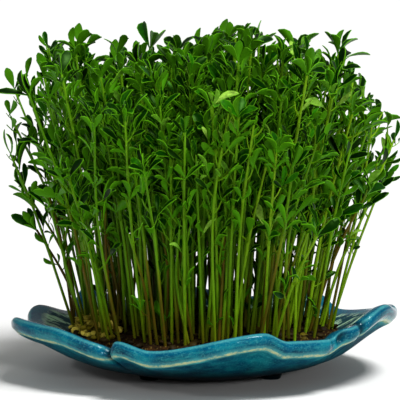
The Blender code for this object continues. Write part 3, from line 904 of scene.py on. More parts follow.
def plan_stalk(centre, up, axes, side, draw, crowd):
    """A list with one stalk that holds a pair of leaflets and one at the end, or an empty list."""
    face = axes[side % 2] * (1 if side < 2 else -1)
    for attempt in range(6):
        angle = draw.uniform(*STALK_LEANS)
        out = face * math.sin(angle) + up * math.cos(angle)
        upper = up * math.sin(angle) - face * math.cos(angle)
        across = out.cross(upper)
        length = draw.uniform(*STALK_LENGTHS)
        root = centre + out * (length + JOINT_LENGTH / 2)
        points = points_between(centre + out * 2 * MM, root, 1.5 * MM)
        if not (inside_limits(points) and crowd.has_room(points, LEAF_BALL)):
            continue
        leaves = plan_leaf(root, out, across, upper, 0.95, draw, crowd)
        for sign in (-1, 1):
            spread = draw.uniform(*PAIR_ANGLES)
            aside = across * sign * math.sin(spread) + out * math.cos(spread)
            leaves += plan_leaf(root, aside, aside.cross(upper), upper, 0.9, draw, crowd)
        if leaves:
            crowd.add(points, LEAF_BALL, crowd.stem)
            return [Stalk(centre, out, across, length, leaves)]
    return []


# %% The whole stand
def plan_joints(foot, middle, top, turn, draw, crowd):
    """The leaves at a stem's two joints."""
    up = (middle - foot).normalized()
    axes = axes_round(up, turn + draw.uniform(-JOINT_TURN, JOINT_TURN))
    centre = middle + up * JOINT_LENGTH / 2
    side = draw.randrange(4)
    stalks = []
    sides = [side, (side + 2) % 4]
    if draw.random() < STALK_SHARE:
        stalks = plan_stalk(centre, up, axes, side, draw, crowd)
        sides = sides[len(stalks) :]
    leaves = leaves_round(centre, up, axes, sides, LOW_LEANS, 0.9, draw, crowd)
    low = Joint(middle, up, leaves, stalks)
    up = (top - middle).normalized()
    axes = axes_round(up, turn + draw.uniform(-JOINT_TURN, JOINT_TURN))
    centre = top + up * JOINT_LENGTH / 2
    side = draw.randrange(4)
    sides = [side, (side + 2) % 4, (side + 1) % 4]
    leaves = leaves_round(centre, up, axes, sides, TOP_LEANS, 1, draw, crowd)
    leaves += plan_leaf(centre, up, axes[0], axes[1], 1, draw, crowd)
    return [low, Joint(top, up, leaves, [])]


def all_leaves(clumps):
    """Every leaflet of the model, from the first clump on."""
    for clump in clumps:
        for stem in clump.stems:
            for joint in stem.joints:
                yield from joint.leaves
                for stalk in joint.stalks:
                    yield from stalk.leaves


def stretch_outermost(leaves, side, limit):
    """Stretches the leaflet that reaches furthest to one side until it touches the limit."""

    def spare(leaf):
        blunt_end = abs(leaf.across.dot(side)) * LEAF_TIP / 2
        return limit - leaf.root.dot(side) - blunt_end

    outward = [leaf for leaf in leaves if leaf.line.dot(side) > 0.75]
    leaf = min(outward, key=lambda leaf: spare(leaf) - leaf.line.dot(side) * leaf.length)
    leaf.length = spare(leaf) / leaf.line.dot(side)


def plan_stand(crowd):
    """Where every clump, stem and leaflet of the model goes, all clear of each other."""
    draw = random.Random(SEED_NUMBER)
    spots = list(clump_spots(draw))
    lines = []
    for number, (spot, turn) in enumerate(spots):
        for quarter in range(4):
            crowd.stem = len(lines)
            lines.append(plan_line(number, spot, turn, quarter, draw, crowd))
    clumps = [Clump(spot, turn, []) for spot, turn in spots]
    for number, line in enumerate(lines):
        crowd.stem = number
        clump = clumps[number // 4]
        clump.stems.append(Stem(line[0], plan_joints(*line, clump.turn, draw, crowd)))
    leaves = list(all_leaves(clumps))
    for side, limit in ((0, HALF_WIDTH), (1, HALF_DEPTH)):
        for sign in (1, -1):
            direction = Vector((0, 0, 0))
            direction[side] = sign
            stretch_outermost(leaves, direction, limit)
    return clumps


crowd = Room(3.4 * MM, CLEARANCE)
clumps = plan_stand(crowd)
print("clumps:", len(clumps), "leaflets so far:", len(list(all_leaves(clumps))))

# %% [markdown]
# ### The rest of the stand
#
# A real stand has about three hundred stems, more than the model's 136. The others are planned now, together with
# the sprays that fill the gaps. A spray is a thin stalk with one or two pairs of leaflets, as every leaf of a
# lentil is. From here on there are thousands of leaflets, so they may come closer to each other than the model's
# do. Each keeps smaller balls for itself, but they still don't cross.


# %% Less room for each
STEM_ROOM = 1 * MM
BLADE_ROOM = 0.45 * MM
STALK_ROOM = 0.3 * MM

room = Room(2.2 * MM, 0)
for balls in crowd.cells.values():
    for *point, radius, stem in balls:
        room.add([point], STEM_ROOM if radius == STEM_BALL else BLADE_ROOM, stem)
print("cells in use:", len(room.cells))


# %% Sprays
@dataclass
class Spray:
    """A thin stalk from its root to its end, bent a little towards its upper side, and its leaflets."""

    root: Vector
    end: Vector
    upper: Vector
    leaves: list


SPRAY_LENGTHS = (3 * MM, 11 * MM)
SPRAY_LEAFLETS = (9 * MM, 20 * MM, 13 * MM)  # shortest, longest, and the commonest length
SPRAY_SHAPE = (0.21, 0.31)  # their width over their length
SPRAY_LEANS = (0.35, 1.05)  # radians between the stem and a spray's stalk
SPRAY_TURN = 0.6  # radians either way that a spray is turned about the stem
SPRAY_LIFT = 0.15  # how much a spray's end curves up, as a share of its length
END_ANGLES = (0.25, 0.7)  # between the stalk and the pair of leaflets at its end
END_SHARE = 0.4  # of the sprays, which have one more leaflet between these two
SIDE_ANGLES = (0.6, 1)  # between the stalk and the pair part of the way along
SIDE_SHARE = 0.5  # of the sprays, which have that pair
BLADE_LIFT = (-0.1, 0.5)  # how much a leaflet turns to the spray's upper side
NEXT_TRY = (0.88, 1.05)  # a leaflet is drawn this much as long as it was before each try at a place
NO_STEM = -2  # the number that a fine blade's balls keep, so that its own stem's sprays don't cross it either
STALK_BEND = (0.55, 0.08)  # where a stalk sags most, and by how much, as shares of its length
SKYLINE = (  # the stand's outline from the front: (x, height) in mm. The back looks higher, so it stays lower
    (-125, 166),
    (-111, 196),
    (-101, 211),
    (-95, 217),
    (-88, 206),
    (-72, 209),
    (-61, 199),
    (-34, 207),
    (-9, 202),
    (0, 210),
    (20, 221),
    (30, 220),
    (41, 209),
    (64, 211),
    (78, 204),
    (92, 195),
    (100, 180),
    (108, 174),
    (116, 162),
    (125, 155),
)
BACK_RISE = 0.14  # a point this much further back looks this share higher


def under_skyline(points):
    """True if the points are inside the stand's limits and its outline from the front."""
    return inside_limits(points) and min(room_above(point) for point in points) > 0


def room_above(point):
    """How far below the outline a point is, as seen from the front."""
    x, y, z = point
    return float(np.interp(x / MM, *zip(*SKYLINE))) * MM - z - y * BACK_RISE


def plan_blade(root, out, upper, length, draw, shape=SPRAY_SHAPE):
    """A list with one leaflet that keeps clear, or an empty list."""
    for attempt in range(4):
        roll = Matrix.Rotation(draw.uniform(-1, 1), 3, out)
        across = roll @ out.cross(upper).normalized()
        length *= draw.uniform(*NEXT_TRY)
        leaf = Leaf(root, out, across, across.cross(out), length, length * draw.uniform(*shape))
        points = blade_points(leaf)
        if under_skyline(points) and room.has_room(points, BLADE_ROOM):
            room.add(points, BLADE_ROOM, NO_STEM)
            return [leaf]
    return []


def plan_spray(root, up, facing, size, draw):
    """A spray that leaves a stem at a root, facing one way, or None where there is no room."""
    for attempt in range(6):
        lean = draw.uniform(*SPRAY_LEANS)
        face = Matrix.Rotation(facing + draw.uniform(-SPRAY_TURN, SPRAY_TURN), 3, up) @ axes_round(up, 0)[0]
        out = face * math.sin(lean) + up * math.cos(lean)
        length = draw.uniform(*SPRAY_LENGTHS) * size
        end = root + out * length + UP * length * SPRAY_LIFT
        tip = (end - root).normalized()
        upper = (up - tip * up.dot(tip)).normalized()
        middle = root.lerp(end, STALK_BEND[0]) - upper * STALK_BEND[1] * length
        points = points_between(root + out * 1.2 * MM, end, 1.6 * MM)
        if not under_skyline(points) or not room.is_clear(points, STALK_ROOM, room.stem):
            continue
        leaves = []
        ends = [(end, draw.uniform(*END_ANGLES)), (end, -draw.uniform(*END_ANGLES))]
        if draw.random() < END_SHARE:
            ends.append((end, draw.uniform(-0.15, 0.15)))
        if draw.random() < SIDE_SHARE:
            ends += [(middle, draw.uniform(*SIDE_ANGLES)), (middle, -draw.uniform(*SIDE_ANGLES))]
        for place, spread in ends:
            line = tip * math.cos(spread) + tip.cross(upper) * math.sin(spread)
            line = (line + upper * draw.uniform(*BLADE_LIFT)).normalized()
            above = (upper - line * upper.dot(line)).normalized()
            leaves += plan_blade(place, line, above, draw.triangular(*SPRAY_LEAFLETS) * size, draw)
        if leaves:
            room.add(points, STALK_ROOM, room.stem)
            return Spray(root, end, upper, leaves)
    return None


# %% More stems
EXTRA_STEMS = 190
FIRST_EXTRA = 1000  # the first one's number
EXTRA_CIRCLE = 80 * MM
EXTRA_HEIGHTS = (0.98, 0.94, 0.9, 0.84, 0.76, 0.66, 0.56)  # shares of the tallest's
EXTRA_STRAY = 7 * MM
LEADERS = (  # the tops of the stems that stand out of the outline: (x, y, height) in mm
    (-96, -12, 204),
    (-73, 5, 196),
    (-36, -10, 196),
    (-19, 4, 193),
    (1, -5, 199),
    (20, -6, 210),
    (29, 6, 208),
    (64, -10, 200),
    (78, 5, 192),
    (91, -5, 184),
    (100, 8, 167),
    (108, 2, 158),
    (117, -6, 146),
    (112, 6, 122),
    (103, -10, 104),
    (-112, 2, 184),
    (-119, 6, 160),
    (-117, -2, 136),
    (-113, 8, 112),
    (-103, -6, 90),
)


@dataclass
class FineStem:
    """A stem's curve, as points and directions from its foot up, with its sprays, leaflets and joints."""

    number: int
    curve: list
    sprays: list
    leaves: list
    joints: list


def bent_line(points, parts):
    """Points and directions along a smooth line through three points."""
    start, middle, end = points
    tangent = (end - start).normalized()
    low = middle - tangent * (middle - start).length / 3
    high = middle + tangent * (end - middle).length / 3
    line = geometry.interpolate_bezier(start, start.lerp(middle, 0.34), low, middle, parts + 1)[:-1]
    line += geometry.interpolate_bezier(middle, high, end.lerp(middle, 0.34), end, parts + 1)
    steps = [b - a for a, b in zip(line, line[1:])]
    directions = [steps[0]] + [a + b for a, b in zip(steps, steps[1:])] + [steps[-1]]
    return [(point, direction.normalized()) for point, direction in zip(line, directions)]


STEM_PARTS = 7  # rings from the foot to the middle, and from there to the top
STEM_BOW = 4 * MM  # how much a stem's middle strays from its line
STEM_MIDDLES = (0.45, 0.65)  # where that middle is, as shares of the height


def stem_curve(foot, top, draw):
    """A stem's curve: upright at the foot and fanning out above, as the model's, but bowed."""
    share = draw.uniform(*STEM_MIDDLES)
    middle = Vector((*foot.xy.lerp(top.xy, share**FANNING), foot.z + (top.z - foot.z) * share))
    middle += Vector((draw.gauss(0, 1), draw.gauss(0, 1), 0)) * STEM_BOW
    return bent_line((foot, middle, top), STEM_PARTS)


def plan_extra_stem(number, leader, draw):
    """One more stem with room of its own, or None."""
    for attempt in range(80):
        radius = EXTRA_CIRCLE * math.sqrt(draw.uniform(0.02, 1))
        angle = draw.uniform(0, math.tau)
        foot = Vector((radius * math.cos(angle), radius * math.sin(angle), 0))
        height = draw.choice(EXTRA_HEIGHTS) * draw.uniform(0.96, 1.02)
        fan = foot * (1 + (SPREAD - 1) * height)
        top = Vector((draw.gauss(fan.x, EXTRA_STRAY), draw.gauss(fan.y, EXTRA_STRAY), 0))
        top.z = TOP_JOINTS * height * (1 - 0.12 * (radius / EXTRA_CIRCLE) ** 4)
        if leader:
            top = (Vector(leader) + Vector((draw.gauss(0, 1.5), draw.gauss(0, 4), 0))) * MM
            foot = top.xy.to_3d() / SPREAD + Vector((draw.gauss(0, 3), draw.gauss(0, 6), 0)) * MM
            foot *= min(1, EXTRA_CIRCLE / foot.length)
        foot.z = bed_top(foot.length)
        curve = stem_curve(foot, top, draw)
        line = [point for point, _ in curve]
        points = [spot for pair in zip(line, line[1:]) for spot in points_between(*pair)]
        if under_skyline(points) and room.is_clear(points, STEM_ROOM):
            room.add(points, STEM_ROOM, number)
            return FineStem(number, curve, [], [], [])
    return None


LEAFY = (58 * MM, 116 * MM)  # no sprays below the first height, and as many as there can be above the second
THIN_SIDES = (80 * MM, 108 * MM, 0.88)  # from the first distance to the side to the second, this share is left out
THIN_TOP = (34 * MM, 0.8)  # in this depth below the outline, up to this share is left out
SPRAY_SHARE = 0.9  # of the joints, where they are fullest
LEADER_TOPS = (34 * MM, 0.75)  # the length at a leader's top where most joints have a spray, and their share
JOINT_GAPS = (7 * MM, 11.5 * MM)
PAIRED_ABOVE = 0.9  # from this share of a stem's height up, a joint can have two sprays
SPRAY_SIZES = (0.8, 1.05)
LOWEST_SIZE = 0.65  # how large sprays are where the leaves start, as a share of those further up
LEADER_SIZE = 1.15  # and how large a leader's are
TIP_LEAFLETS = ((7 * MM, 14 * MM), (0.2, 0.28))  # a stem's last four leaflets: lengths, and width over length
LEADER_LEAFLETS = ((13 * MM, 19 * MM), (0.26, 0.34))  # a leader's
TIP_LEANS = (0.1, 0.55)


def point_on(stem, height):
    """The point of a stem at a height, and the direction there."""
    for (start, _), (end, up) in zip(stem.curve, stem.curve[1:]):
        if height <= end.z:
            break
    share = (height - start.z) / (end.z - start.z)
    return start.lerp(end, min(share, 1)), up


def grow_spray(stem, root, up, facing, size, draw):
    """Gives a stem a spray, if there is room for it."""
    spray = plan_spray(root, up, facing, size, draw)
    if spray:
        stem.sprays.append(spray)
        stem.joints.append(root)


def dress_stem(stem, draw):
    """Grows sprays at joints along a stem, each facing away from the last, and young leaflets at its tip."""
    room.stem = stem.number
    leads = stem.number - FIRST_EXTRA in range(len(LEADERS))
    top = stem.curve[-1][0]
    facing = draw.uniform(0, math.tau)
    height = LEAFY[0] + draw.uniform(0, 12) * MM
    while height < top.z - 1 * MM:
        root, up = point_on(stem, height)
        facing += math.pi + draw.uniform(-JOINT_TURN, JOINT_TURN)
        full = smooth((height - LEAFY[0]) / (LEAFY[1] - LEAFY[0]))
        thin = THIN_SIDES[2] * smooth((abs(root.x) - THIN_SIDES[0]) / (THIN_SIDES[1] - THIN_SIDES[0]))
        bare = THIN_TOP[1] * smooth(1 - room_above(root) / THIN_TOP[0])
        keep = SPRAY_SHARE * full**1.5 * (1 - max(thin, bare))
        if leads and height > top.z - LEADER_TOPS[0]:
            keep = LEADER_TOPS[1]
        for turn in (0, math.pi) if height > PAIRED_ABOVE * top.z else (0,):
            if draw.random() > keep:
                continue
            size = draw.uniform(*SPRAY_SIZES) * (LOWEST_SIZE + (1 - LOWEST_SIZE) * full)
            size *= LEADER_SIZE if leads else 1
            grow_spray(stem, root, up, facing + turn, size, draw)
        height += draw.uniform(*JOINT_GAPS)
    root, up = stem.curve[-1]
    for step in range(4):
        face = Matrix.Rotation(facing + step * math.pi / 2, 3, up) @ axes_round(up, 0)[0]
        lean = draw.uniform(*TIP_LEANS)
        out = face * math.sin(lean) + up * math.cos(lean)
        above = (face - out * face.dot(out)).normalized() * -1
        lengths, shape = LEADER_LEAFLETS if leads else TIP_LEAFLETS
        stem.leaves.extend(plan_blade(root, out, above, draw.uniform(*lengths), draw, shape))


LOW_LEAVES = (90 * MM, 0.8)  # a leaflet of the model that is lower than this is drawn this much smaller


def model_stem(number, stem):
    """A stem of the model, with its own joints, sprays and leaflets."""
    joints = [joint.place + joint.up * JOINT_LENGTH / 2 for joint in stem.joints]
    leaves = [leaf for joint in stem.joints for leaf in joint.leaves]
    sprays = []
    for joint in stem.joints:
        for stalk in joint.stalks:
            end = stalk.root + stalk.out * (stalk.length + JOINT_LENGTH / 2)
            sprays.append(Spray(stalk.root, end, stalk.across.cross(stalk.out), stalk.leaves))
    for leaf in leaves + [leaf for spray in sprays for leaf in spray.leaves]:
        if leaf.root.z < LOW_LEAVES[0]:
            leaf.length *= LOW_LEAVES[1]
            leaf.width *= LOW_LEAVES[1]
    return FineStem(number, bent_line((stem.foot, *joints), STEM_PARTS), sprays, leaves, joints)


draw = random.Random(11)
fine = [[model_stem(4 * i + j, stem) for j, stem in enumerate(clump.stems)] for i, clump in enumerate(clumps)]
for number in range(EXTRA_STEMS):
    leader = LEADERS[number] if number < len(LEADERS) else None
    stem = plan_extra_stem(FIRST_EXTRA + number, leader, draw)
    if stem:
        foot = stem.curve[0][0].xy
        home = min(range(len(clumps)), key=lambda i: (clumps[i].centre.xy - foot).length)
        fine[home].append(stem)
all_stems = [stem for stems in fine for stem in stems]
print("stems:", len(all_stems))

# %% Sprays all over
LOW_SPRAYS = (38 * MM, 84 * MM)  # among the bare stems, some have one small spray between these heights
LOW_SHARE = 0.4
LOW_SIZES = (0.6, 0.9)

for stem in all_stems:
    dress_stem(stem, draw)
for stem in all_stems:
    room.stem = stem.number
    height = draw.uniform(*LOW_SPRAYS)
    if draw.random() < LOW_SHARE:
        root, up = point_on(stem, height)
        facing = draw.uniform(0, math.tau)
        grow_spray(stem, root, up, facing, draw.uniform(*LOW_SIZES), draw)
sprays = [spray for stem in all_stems for spray in stem.sprays]
single = sum(len(stem.leaves) for stem in all_stems)
print("sprays:", len(sprays), "with", sum(len(spray.leaves) for spray in sprays), "leaflets; on stems:", single)


# %% [markdown]
# ## Leaflets
#
# A lentil's leaflet is a narrow oblong, widest past its middle, with a blunt round end. It folds along its midrib,
# and it arches. One grid, six spans long and two wide, is drawn to that outline, folded, arched, and given a thin
# wall. Eight such leaflets, folded and bent more or less, are enough for thousands: each copy is stretched to its
# own length and width and turned to its own place.

# %% Leaflet shapes
# A leaflet's outline: (share of the length, share of the half width)
OUTLINE = ((0, 0.1), (0.1, 0.14), (0.3, 0.5), (0.52, 0.86), (0.72, 1), (0.9, 0.68), (1, 0.16))
BLADE_THICKNESS = 0.028  # of the length: about 0.4 mm
FOLD_SLOPE = 0.16  # of a fold of 1: the rise from the midrib to the edge, in widths
FORMS = (  # (fold, bend to the side, arch as a share of the model's)
    (0.25, 0.03, 1),
    (0.45, -0.06, 0.6),
    (0.7, 0.03, 1.5),
    (0.3, -0.09, 2),
    (0.9, 0, 0.8),
    (0.5, 0.09, 1.7),
    (0.35, 0, -0.4),
    (1.2, 0.04, 1.1),
)
BELOW = 2  # is added to the first leaf coordinate on the underside


def make_leaflet(fold, sway, curve):
    """A leaflet one long and one wide, from a grid. Its upper side faces up and its stalk end is at the origin."""
    bm = bmesh.new()
    uv = bm.loops.layers.uv.new("along_across")
    bmesh.ops.create_grid(bm, x_segments=len(OUTLINE) - 1, y_segments=2, size=0.5)
    sides = {}
    for vertex in bm.verts:
        row = round((vertex.co.x + 0.5) * (len(OUTLINE) - 1))
        side = round(vertex.co.y * 2)
        share, half = OUTLINE[row]
        arch = ARCH * curve * (1 - ((share - WIDEST_AT) / WIDEST_AT) ** 2) - DROOP * share**2
        bend = sway * math.sin(share * math.pi)
        vertex.co = (share, side * half / 2 + bend, arch + fold * abs(side) * half * FOLD_SLOPE)
        sides[vertex] = side
    for face in bm.faces:
        for loop in face.loops:
            loop[uv].uv = (loop.vert.co.x, 0.5 + sides[loop.vert] / 2)
    bmesh.ops.solidify(bm, geom=bm.faces[:], thickness=BLADE_THICKNESS)
    bm.normal_update()
    for face in bm.faces:
        if face.normal.z < LOOKS_DOWN:
            for loop in face.loops:
                loop[uv].uv.x += BELOW
    smooth_shade(bm, math.radians(70))
    return to_mesh(bm, "leaflet")


leaflets = [make_leaflet(*form) for form in FORMS]
print("faces of a leaflet:", len(leaflets[0].polygons))

# %% [markdown]
# ## Stems and stalks
#
# A stem is a slender tube, thicker at its foot and a little swollen at each joint. A curve with a bevel could do,
# but here the tube is grown as the plant grows: from a short cone, the end face is extruded again and again along
# a smooth line through the foot, the lower joint and the top.

# %% Tubes
STEM_SIDES = 6
STALK_SIDES = 4
STEM_RADII = (1.05 * MM, 0.7 * MM)  # at the foot and at the top
SWELLING = (0.3, 2 * MM)  # how much thicker a stem is at a joint, and how far from it
ROOTED = (3 * MM, 0.8)  # how deep a stem goes into the bed, and its thickness there as a share
STALK_RADIUS = 0.4 * MM
STALK_LENGTH = 8 * MM  # of a middling stalk. Longer ones are a little thicker


def ring_matrix(centre, direction, radius):
    """Puts a circle of radius one, lying flat, across a stem."""
    turn = UP.rotation_difference(direction).to_matrix().to_4x4()
    return Matrix.Translation(centre) @ turn @ Matrix.Scale(radius, 4)


def new_growth():
    """An empty bmesh with the tone and the leaf coordinates that finishes read."""
    bm = bmesh.new()
    bm.verts.layers.float.new("tone")
    bm.loops.layers.uv.new("along_across")
    return bm


def grow_tube(rings, sides):
    """A closed tube through rings of (centre, direction, radius), as a mesh."""
    bm = new_growth()
    bmesh.ops.create_cone(bm, cap_ends=True, segments=sides, radius1=1, radius2=1, depth=2)
    base = [vertex for vertex in bm.verts if vertex.co.z < 0]
    ends = [vertex for vertex in bm.verts if vertex.co.z > 0]
    for ring, lift in ((base, 1), (ends, -1)):
        bmesh.ops.translate(bm, verts=ring, vec=(0, 0, lift))
    matrices = [ring_matrix(*ring) for ring in rings]
    face = next(face for face in bm.faces if set(face.verts) == set(ends))
    bmesh.ops.transform(bm, matrix=matrices[0], verts=base)
    bmesh.ops.transform(bm, matrix=matrices[1], verts=ends)
    for last, matrix in zip(matrices[1:], matrices[2:]):
        face = bmesh.ops.extrude_discrete_faces(bm, faces=[face])["faces"][0]
        bmesh.ops.transform(bm, matrix=matrix @ last.inverted(), verts=face.verts)
    smooth_shade(bm, math.radians(80))
    return to_mesh(bm, "tube")


def stem_rings(stem):
    """A stem's rings, with a swelling at each joint."""
    rings = []
    for number, (point, direction) in enumerate(stem.curve):
        share = number / (len(stem.curve) - 1)
        radius = STEM_RADII[0] + (STEM_RADII[1] - STEM_RADII[0]) * share
        near = min([(point - joint).length for joint in stem.joints] or [1])
        rings.append((point, direction, radius * (1 + SWELLING[0] * bell(near, SWELLING[1]))))
    foot, _, radius = rings[0]
    return [(foot - UP * ROOTED[0], UP, radius * ROOTED[1]), *rings]


def make_stalk():
    """A stalk one long, lying along X and sagging. Copies of it are stretched along X alone."""
    share, sag = STALK_BEND
    rings = [((0, 0, 0), 1.15), ((share / 2, 0, -sag * 0.7), 1), ((share, 0, -sag), 0.9), ((1, 0, 0), 0.8)]
    wide = STALK_RADIUS / STALK_LENGTH
    return grow_tube([(Vector(place), Vector((1, 0, 0)), radius * wide) for place, radius in rings], STALK_SIDES)


stalk = make_stalk()
print("faces of a stalk:", len(stalk.polygons))

# %% [markdown]
# ## Growing the sprouts
#
# Each clump and the extra stems nearest to it become one piece, which stands for the model's clump. The stems and
# stalks come first, then the leaflets. Every part carries a tone, a number that the finish reads, so that no two
# leaflets are quite the same green.

# %% Clump by clump
STEM_PART, LEAF_PART = 0, 1  # the finishes, in each piece's order
STEM_TONE = (0.31, 0.18)  # the middle of a stem's leaflets' tones, and how much it varies
LEAF_TONE = 0.23  # how much they vary from each other besides


def leaf_matrix(leaf):
    """Puts a leaflet one long and one wide in its place."""
    side = leaf.upper.cross(leaf.out)  # worked out again here, so that no leaflet is mirrored and so inside out
    axes = Matrix((leaf.out * leaf.length, side * leaf.width, leaf.upper * leaf.length)).transposed()
    return Matrix.Translation(leaf.root) @ axes.to_4x4()


def stalk_matrix(spray):
    """Puts a stalk one long in its place. Its long axis is X."""
    along = spray.end - spray.root
    across = spray.upper.cross(along).normalized()
    upper = along.cross(across).normalized()
    axes = Matrix((along, across * along.length, upper * along.length)).transposed()
    return Matrix.Translation(spray.root) @ axes.to_4x4()


def grow_stem(stem, draw):
    """A stem with its stalks and leaflets, as a mesh."""
    bm = new_growth()
    tone = draw.random()
    tube = grow_tube(stem_rings(stem), STEM_SIDES)
    add_copy(bm, tube, Matrix.Identity(4), tone)
    bpy.data.meshes.remove(tube)
    for spray in stem.sprays:
        add_copy(bm, stalk, stalk_matrix(spray), tone)
    stalk_faces = len(bm.faces)
    middling = draw.gauss(*STEM_TONE)
    for leaf in stem.leaves + [leaf for spray in stem.sprays for leaf in spray.leaves]:
        add_copy(bm, draw.choice(leaflets), leaf_matrix(leaf), middling + draw.gauss(0, LEAF_TONE))
    for number, face in enumerate(bm.faces):
        face.material_index = STEM_PART if number < stalk_faces else LEAF_PART
    return to_mesh(bm, "stem")


def grow_clump(stems, draw):
    """All the stems of one piece. Each is grown by itself first, which is quicker than adding to a large mesh."""
    bm = new_growth()
    for stem in stems:
        grown = grow_stem(stem, draw)
        bm.from_mesh(grown)
        bpy.data.meshes.remove(grown)
    return bm


draw = random.Random(3)
grown_clumps = [grow_clump(stems, draw) for stems in fine]
print("faces of all the sprouts:", sum(len(bm.faces) for bm in grown_clumps))

# %% [markdown]
# ### Their finishes: young stems and leaflets
#
# A young stem is juicy: yellow-green and rather glossy, rusty brown where it leaves the bed, and greener under the
# leaves. A few stay brown for much of their height. The stems at the right are painted yellower, which is painted
# light. Very fine streaks run along them. The leaflets are deep green and satin above, with a painted highlight on
# a narrow edge and the tip, and a little lighter below. Light passes through a leaf, so a seventh of the shader is
# translucent. That gives the yellow glow of leaves with the light behind them.

# %% Stem and leaf
STREAK_SIZE = (0.71429, 0.71429, 16.667)  # in mm. Real streaks are finer, and would not show
BROWN_STEMS = (0.35, -76 * MM, -3 * MM)  # below this tone, a stem's colours are up to this much higher up it
STEM_HEIGHT = (24 * MM, 190 * MM)  # where its colours start, and where they end
PAINTED_LIGHT_SIDE = 55 * MM


def make_stem_finish():
    """A young stem: brown at its foot, then green, and painted yellower at the right, which is painted light."""
    finish, tree, shader, place = new_finish("young_lentil_stem")
    xyz = add_node(tree, "SeparateXYZ", {0: place})
    tone = add_node(tree, "Attribute", attribute_name="tone").outputs["Fac"]
    most, lowest, highest = BROWN_STEMS
    shift = add_node(tree, "MapRange", {"Value": tone, "From Max": most, "To Min": lowest, "To Max": highest})
    height = add_node(tree, "Math", {0: xyz.outputs["Z"], 1: shift.outputs[0]}, operation="ADD").outputs[0]
    share = add_node(tree, "MapRange", {"Value": height, "From Min": STEM_HEIGHT[0], "From Max": STEM_HEIGHT[1]})
    greens = ((0.0, "#4C3408"), (1.0, "#5C9610"), (0.06, "#585604"), (0.16, "#487602"), (0.6, "#386C00"))
    tint = add_node(tree, "ValToRGB", {"Fac": share.outputs[0]}, greens)
    # painted light: stems with a high tone are painted yellower towards the right, where more light falls
    right = {"Value": xyz.outputs["X"], "From Max": PAINTED_LIGHT_SIDE, "To Min": 0.25, "To Max": 0.95}
    painted_light_right = add_node(tree, "MapRange", right).outputs[0]
    scale = [1 / (size * MM) for size in STREAK_SIZE]
    fine_lines = add_node(tree, "Mapping", {"Vector": place, "Scale": scale})
    streaks = add_node(tree, "TexNoise", {"Vector": fine_lines.outputs[0], "Scale": 1, "Detail": 2}).outputs[0]
    layers = ((tone, 0, 1, 1, "#78A210", painted_light_right), (streaks, 0.4, 0.7, 0.5, "#1E4A00"))
    looks = {"Base Color": lay_over(tree, tint.outputs[0], layers), "Roughness": 0.42}
    looks |= {"Specular IOR Level": 0.25, "Specular Tint": linear("#D8E890")}
    set_inputs(shader, looks)
    return finish


def make_leaf_finish():
    """A leaflet: mottled deep green with a painted highlight on its edge and tip, and light comes through it."""
    finish, tree, shader, place = new_finish("lentil_leaflet")
    uv = add_node(tree, "UVMap", uv_map="along_across")
    parts = add_node(tree, "SeparateXYZ", {0: uv.outputs[0]})
    tone = add_node(tree, "Attribute", attribute_name="tone").outputs["Fac"]
    greens = ((0.0, "#001400"), (1.0, "#98C848"), (0.35, "#022800"), (0.6, "#083C00"), (0.84, "#287204"))
    tint = add_node(tree, "ValToRGB", {"Fac": tone}, greens)
    below = add_node(tree, "Math", {0: parts.outputs[0], 1: 1.5}, operation="GREATER_THAN").outputs[0]
    side = add_node(tree, "Math", {0: parts.outputs[1], 1: 0.5}, operation="SUBTRACT")
    gap = add_node(tree, "Math", {0: side.outputs[0]}, operation="ABSOLUTE")
    # painted highlight: a paler narrow edge and blunt tip, where light catches the blade
    edge = add_node(tree, "MapRange", {"Value": gap.outputs[0], "From Min": 0.42, "From Max": 0.5, "To Max": 0.65})
    tip = add_node(tree, "MapRange", {"Value": parts.outputs[0], "From Min": 0.93, "To Max": 0.4})
    rim = add_node(tree, "Math", {0: edge.outputs[0], 1: tip.outputs[0]}, operation="MAXIMUM").outputs[0]
    mottle = add_node(tree, "TexNoise", {"Vector": place, "Scale": 1 / (2.2 * MM), "Detail": 3}).outputs[0]
    layers = (
        (mottle, 0.35, 0.75, 0.7, "#041E00"),
        (rim, 0, 1, 1, "#68B414"),
        (below, 0, 1, 0.22, "#1C6C08"),
    )
    colour = lay_over(tree, tint.outputs[0], layers)
    bump = add_node(tree, "Bump", {"Height": mottle, "Strength": 0.3, "Distance": 0.3 * MM})
    looks = {"Base Color": colour, "Normal": bump.outputs[0], "Roughness": 0.34}
    looks |= {"Specular IOR Level": 0.16, "Specular Tint": linear("#9CF060")}
    set_inputs(shader, looks)
    glow = add_node(tree, "BsdfTranslucent", {"Color": colour})
    both = add_node(tree, "MixShader", {0: 0.14, 1: shader.outputs[0], 2: glow.outputs[0]})
    set_inputs(tree.nodes["Material Output"], {"Surface": both.outputs[0]})
    return finish


sprout_finishes = [make_stem_finish(), make_leaf_finish()]
for number, bm in enumerate(grown_clumps, 1):
    replaced = [f"sprout_clump_{number:02}"]
    piece = add_piece(f"sprouts_{number:02}", bm, sprout_finishes, replaced)
    print(piece.name, len(fine[number - 1]), "stems", len(piece.data.polygons), "faces")

# %% [markdown]
# ## The studio
#
# A plain pale floor, a white surround and soft light, so that nothing but the sprouts and the glaze draws the eye.
# The main light comes from high up, a little to the right and in front, and is soft, as from a skylight. It leaves
# the stems in the leaves' shade. Three small lamps, low down at the front, the left and the right, lift the stems
# again, and each puts its own shine on the glaze. The camera looks from just above the rim's height, from far
# enough away that the dish's ellipse stays flat.

# %% Floor and light
FLOOR_SIZE = 60
SURROUND = 0.28  # its brightness
LIT_POINT = Vector((0, 0, 0.12))  # the middle of the stand, which all lamps face

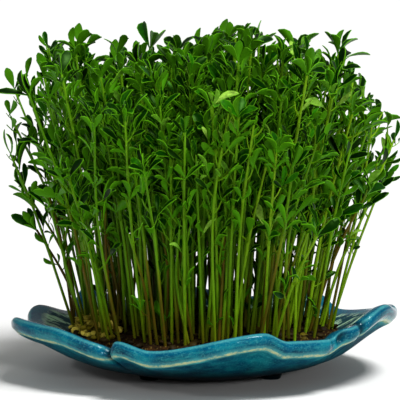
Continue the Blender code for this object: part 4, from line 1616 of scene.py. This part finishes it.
floor = bmesh.new()
bmesh.ops.create_grid(floor, x_segments=1, y_segments=1, size=FLOOR_SIZE / 2)
floor_piece = add_object("floor", to_mesh(floor, "floor"))
floor_finish, tree, shader, place = new_finish("pale_paper")
set_inputs(shader, {"Base Color": linear("#D2D2D1"), "Roughness": 0.9})
floor_piece.data.materials.append(floor_finish)
floor_piece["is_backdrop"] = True

world = bpy.data.worlds.new("white_surround")
bpy.context.scene.world = world
world.use_nodes = True
set_inputs(world.node_tree.nodes["Background"], {"Color": (1, 1, 1, 1), "Strength": SURROUND})


def add_lamp(name, kind, place, size, power):
    """A lamp that faces the stand. A sun's size is an angle, and an area lamp's its side."""
    lamp = bpy.data.lights.new(name, kind)
    lamp.energy = power
    setattr(lamp, "angle" if kind == "SUN" else "size", size)
    holder = add_object(name, lamp)
    holder.location = place
    holder.rotation_euler = (LIT_POINT - Vector(place)).to_track_quat("-Z", "Y").to_euler()


add_lamp("skylight", "SUN", (0.9, -1.0, 2.8), math.radians(20), 4.7)
add_lamp("front", "AREA", (0.7, -2.2, 0.62), 0.18, 12)
add_lamp("left", "AREA", (-1.2, -1.1, 0.9), 0.13, 4.5)
add_lamp("right", "AREA", (1.5, -1.6, 0.7), 0.13, 4.5)
print("lamps:", [lamp.name for lamp in bpy.data.lights])

# %% Camera
AIM = Vector((-1.9, 0, 108.4)) * MM
DISTANCE = 3.0
ELEVATION = math.radians(8)
LENS = 435.5
SENSOR = 36

camera = add_object("camera", bpy.data.cameras.new("camera"))
camera.data.lens = LENS
camera.data.sensor_width = SENSOR
camera.data.clip_start = 0.1
back = Vector((0, -math.cos(ELEVATION), math.sin(ELEVATION)))
camera.location = AIM + back * DISTANCE
camera.rotation_euler = (-back).to_track_quat("-Z", "Y").to_euler()
bpy.context.scene.camera = camera
bpy.context.scene.view_settings.view_transform = "Standard"
print("camera at", [round(side, 3) for side in camera.location])

# %% Sizes, and the end
seen_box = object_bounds()
print("visual box in mm:", [round(side / MM, 1) for side in seen_box[1] - seen_box[0]])
